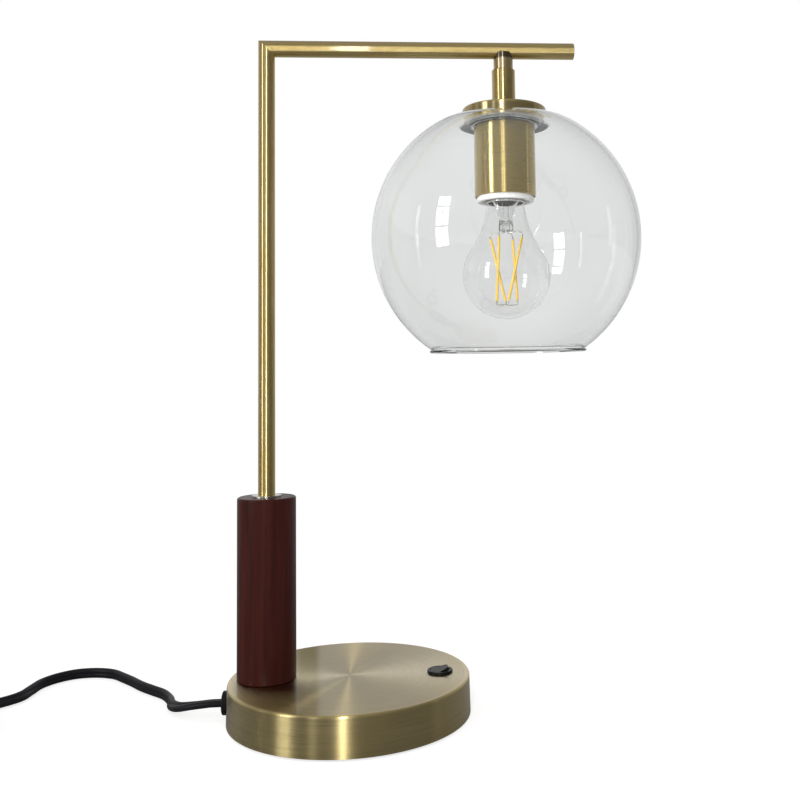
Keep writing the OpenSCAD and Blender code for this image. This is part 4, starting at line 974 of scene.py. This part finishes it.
def make_looks(parts):
    """Every material, then each CAD node and each piece in its own."""
    shade, pole = (SHADE_X, 0, 0), (POLE_X, 0, 0)
    olive, tube, pale = (0.455, 0.37, 0.175), (0.54, 0.42, 0.17), (0.60, 0.49, 0.28)
    # Rims along which a lighter colour is painted as a highlight
    base_rim_highlight = (BASE_R - 2.1, BASE_H - 0.5, 1.5)
    cap_rim_highlight = (half("shade_cap", 0) - 0.7, high("shade_cap", 2) - 0.8, 1.6)
    # Heights over which the stub darkens under the arm: braze discolouration and painted shade
    braze_and_shade = (low("arm_tube", 2) - 0.4, low("arm_tube", 2) + 0.8)
    looks = {
        "base": brushed("brass_base", olive, (0, 0, 0), rough=0.32, rim=base_rim_highlight),
        "cap": brushed("brass_cap", olive, shade, rough=0.3, rim=cap_rim_highlight),
        "cup": brushed("brass_cup", tube, shade, rough=0.30, grain=0.7),
        "pole": brushed("brass_pole", tube, pole, rough=0.34, grain=0.35),
        "arm": brushed("brass_arm", tube, (0, 0, ARM_Z), "X", rough=0.36, grain=0.35),
        "stub": brushed("brass_stub", pale, shade, rough=0.36, braze_and_shade=braze_and_shade, lacquer=0.5),
        "collar": brushed("brass_collar", tube, shade, rough=0.3, grain=0.4),
        "brass": plain_metal("brass_pressed", (0.72, 0.56, 0.30), 0.28),
        "steel": plain_metal("zinc_plate", (0.60, 0.60, 0.58), 0.34),
        "nickel": plain_metal("nickel_plate", (0.70, 0.68, 0.62), 0.24),
        "bulb_metal": plain_metal("bulb_cap_metal", (0.78, 0.78, 0.76), 0.22),
        "iron": cast("cast_iron"),
        "foam": foam("foot_foam"),
        "rubber": moulded("gasket_silicone", (0.80, 0.79, 0.74), 0.5),
        "wood": wood("mahogany"),
        "globe": clear("globe_glass", (0.998, 1.0, 0.999), (0.72, 0.84, 0.80), 22, 0.02, 22),
        "bulb": clear("bulb_glass_clear", (1.0, 1.0, 1.0), (0.80, 0.90, 0.87), 8, 0.015, 50),
        "washer": clear("washer_clear", (0.99, 0.995, 0.99), (0.75, 0.82, 0.79), 20, 0.02, 200),
        "black_glass": moulded("black_glass", (0.012, 0.012, 0.014), 0.12, coat=0.5),
        "white": moulded("holder_white", (0.90, 0.89, 0.87), 0.34, 500, 0.05, (0.93, 0.92, 0.90), coat=0.1),
        "green": moulded("board_green", (0.03, 0.12, 0.06), 0.4, 500),
        "black": moulded("switch_black", (0.008, 0.008, 0.009), 0.30, 900, 0.1, (0.011, 0.011, 0.012),
                         level=0.16),
        "cord": moulded("cord_black", (0.006, 0.0065, 0.009), 0.42, 900, 0.15, (0.009, 0.0095, 0.013),
                        level=0.2),
        "strap": woven("strap_weave"),
        "amber": phosphor("strip_amber"),
    }
    nodes = {
        "base": ("base_cover",), "cap": ("shade_cap",), "cup": ("socket_cup",), "pole": ("pole_tube",),
        "arm": ("arm_tube", "arm_end_cap"), "stub": ("stem_stub",), "collar": ("stem_collar",),
        "brass": ("tube_insert", "holder_contact", "holder_terminals", "switch_blade",
                  "switch_terminals", "plug_blades"),
        "steel": ("bottom_plate", "bottom_screws", "threaded_rod", "rod_nut", "rod_washer", "holder_nipple",
                  "holder_lock_nut", "switch_plunger", "switch_spring"),
        "nickel": ("sleeve_washer",), "bulb_metal": ("bulb_end_contact",), "iron": ("base_weight",),
        "foam": ("foot_pad",), "rubber": ("shade_gasket",), "wood": ("wood_sleeve",),
        "washer": ("shade_washer",), "black_glass": ("bulb_insulator",),
        "white": ("holder_cap", "holder_body", "wire_connector"), "green": ("bulb_driver",),
        "black": ("switch_housing", "switch_rocker", "cord_grommet"),
        "cord": ("cord_tail", "pole_wires", "base_wires"),
    }
    for look, names in nodes.items():
        for name in names:
            dress(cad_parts[name], looks[look])
    for obj, look in parts:
        dress(obj, looks[look])


make_camera()
cord, plug, strap = make_cord()
globe = make_shade()
bulb = make_bulb()
make_looks([
    (cord, "cord"), (plug, "cord"), (strap, "strap"), (globe, "globe"),
    (bulb["glass"], "bulb"), (bulb["stem"], "bulb"), (bulb["leads"], "nickel"), (bulb["strips"], "amber"),
    (bulb["tips"], "nickel"), (bulb["cap"], "bulb_metal"), (bulb["shell"], "brass"),
])
make_floor()
make_world()
make_lights(
    [globe, bulb["glass"], bulb["stem"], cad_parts["shade_washer"]],
    [cord, plug, strap] + [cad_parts[name] for name in (
        "wood_sleeve", "switch_rocker", "switch_housing", "cord_grommet")])
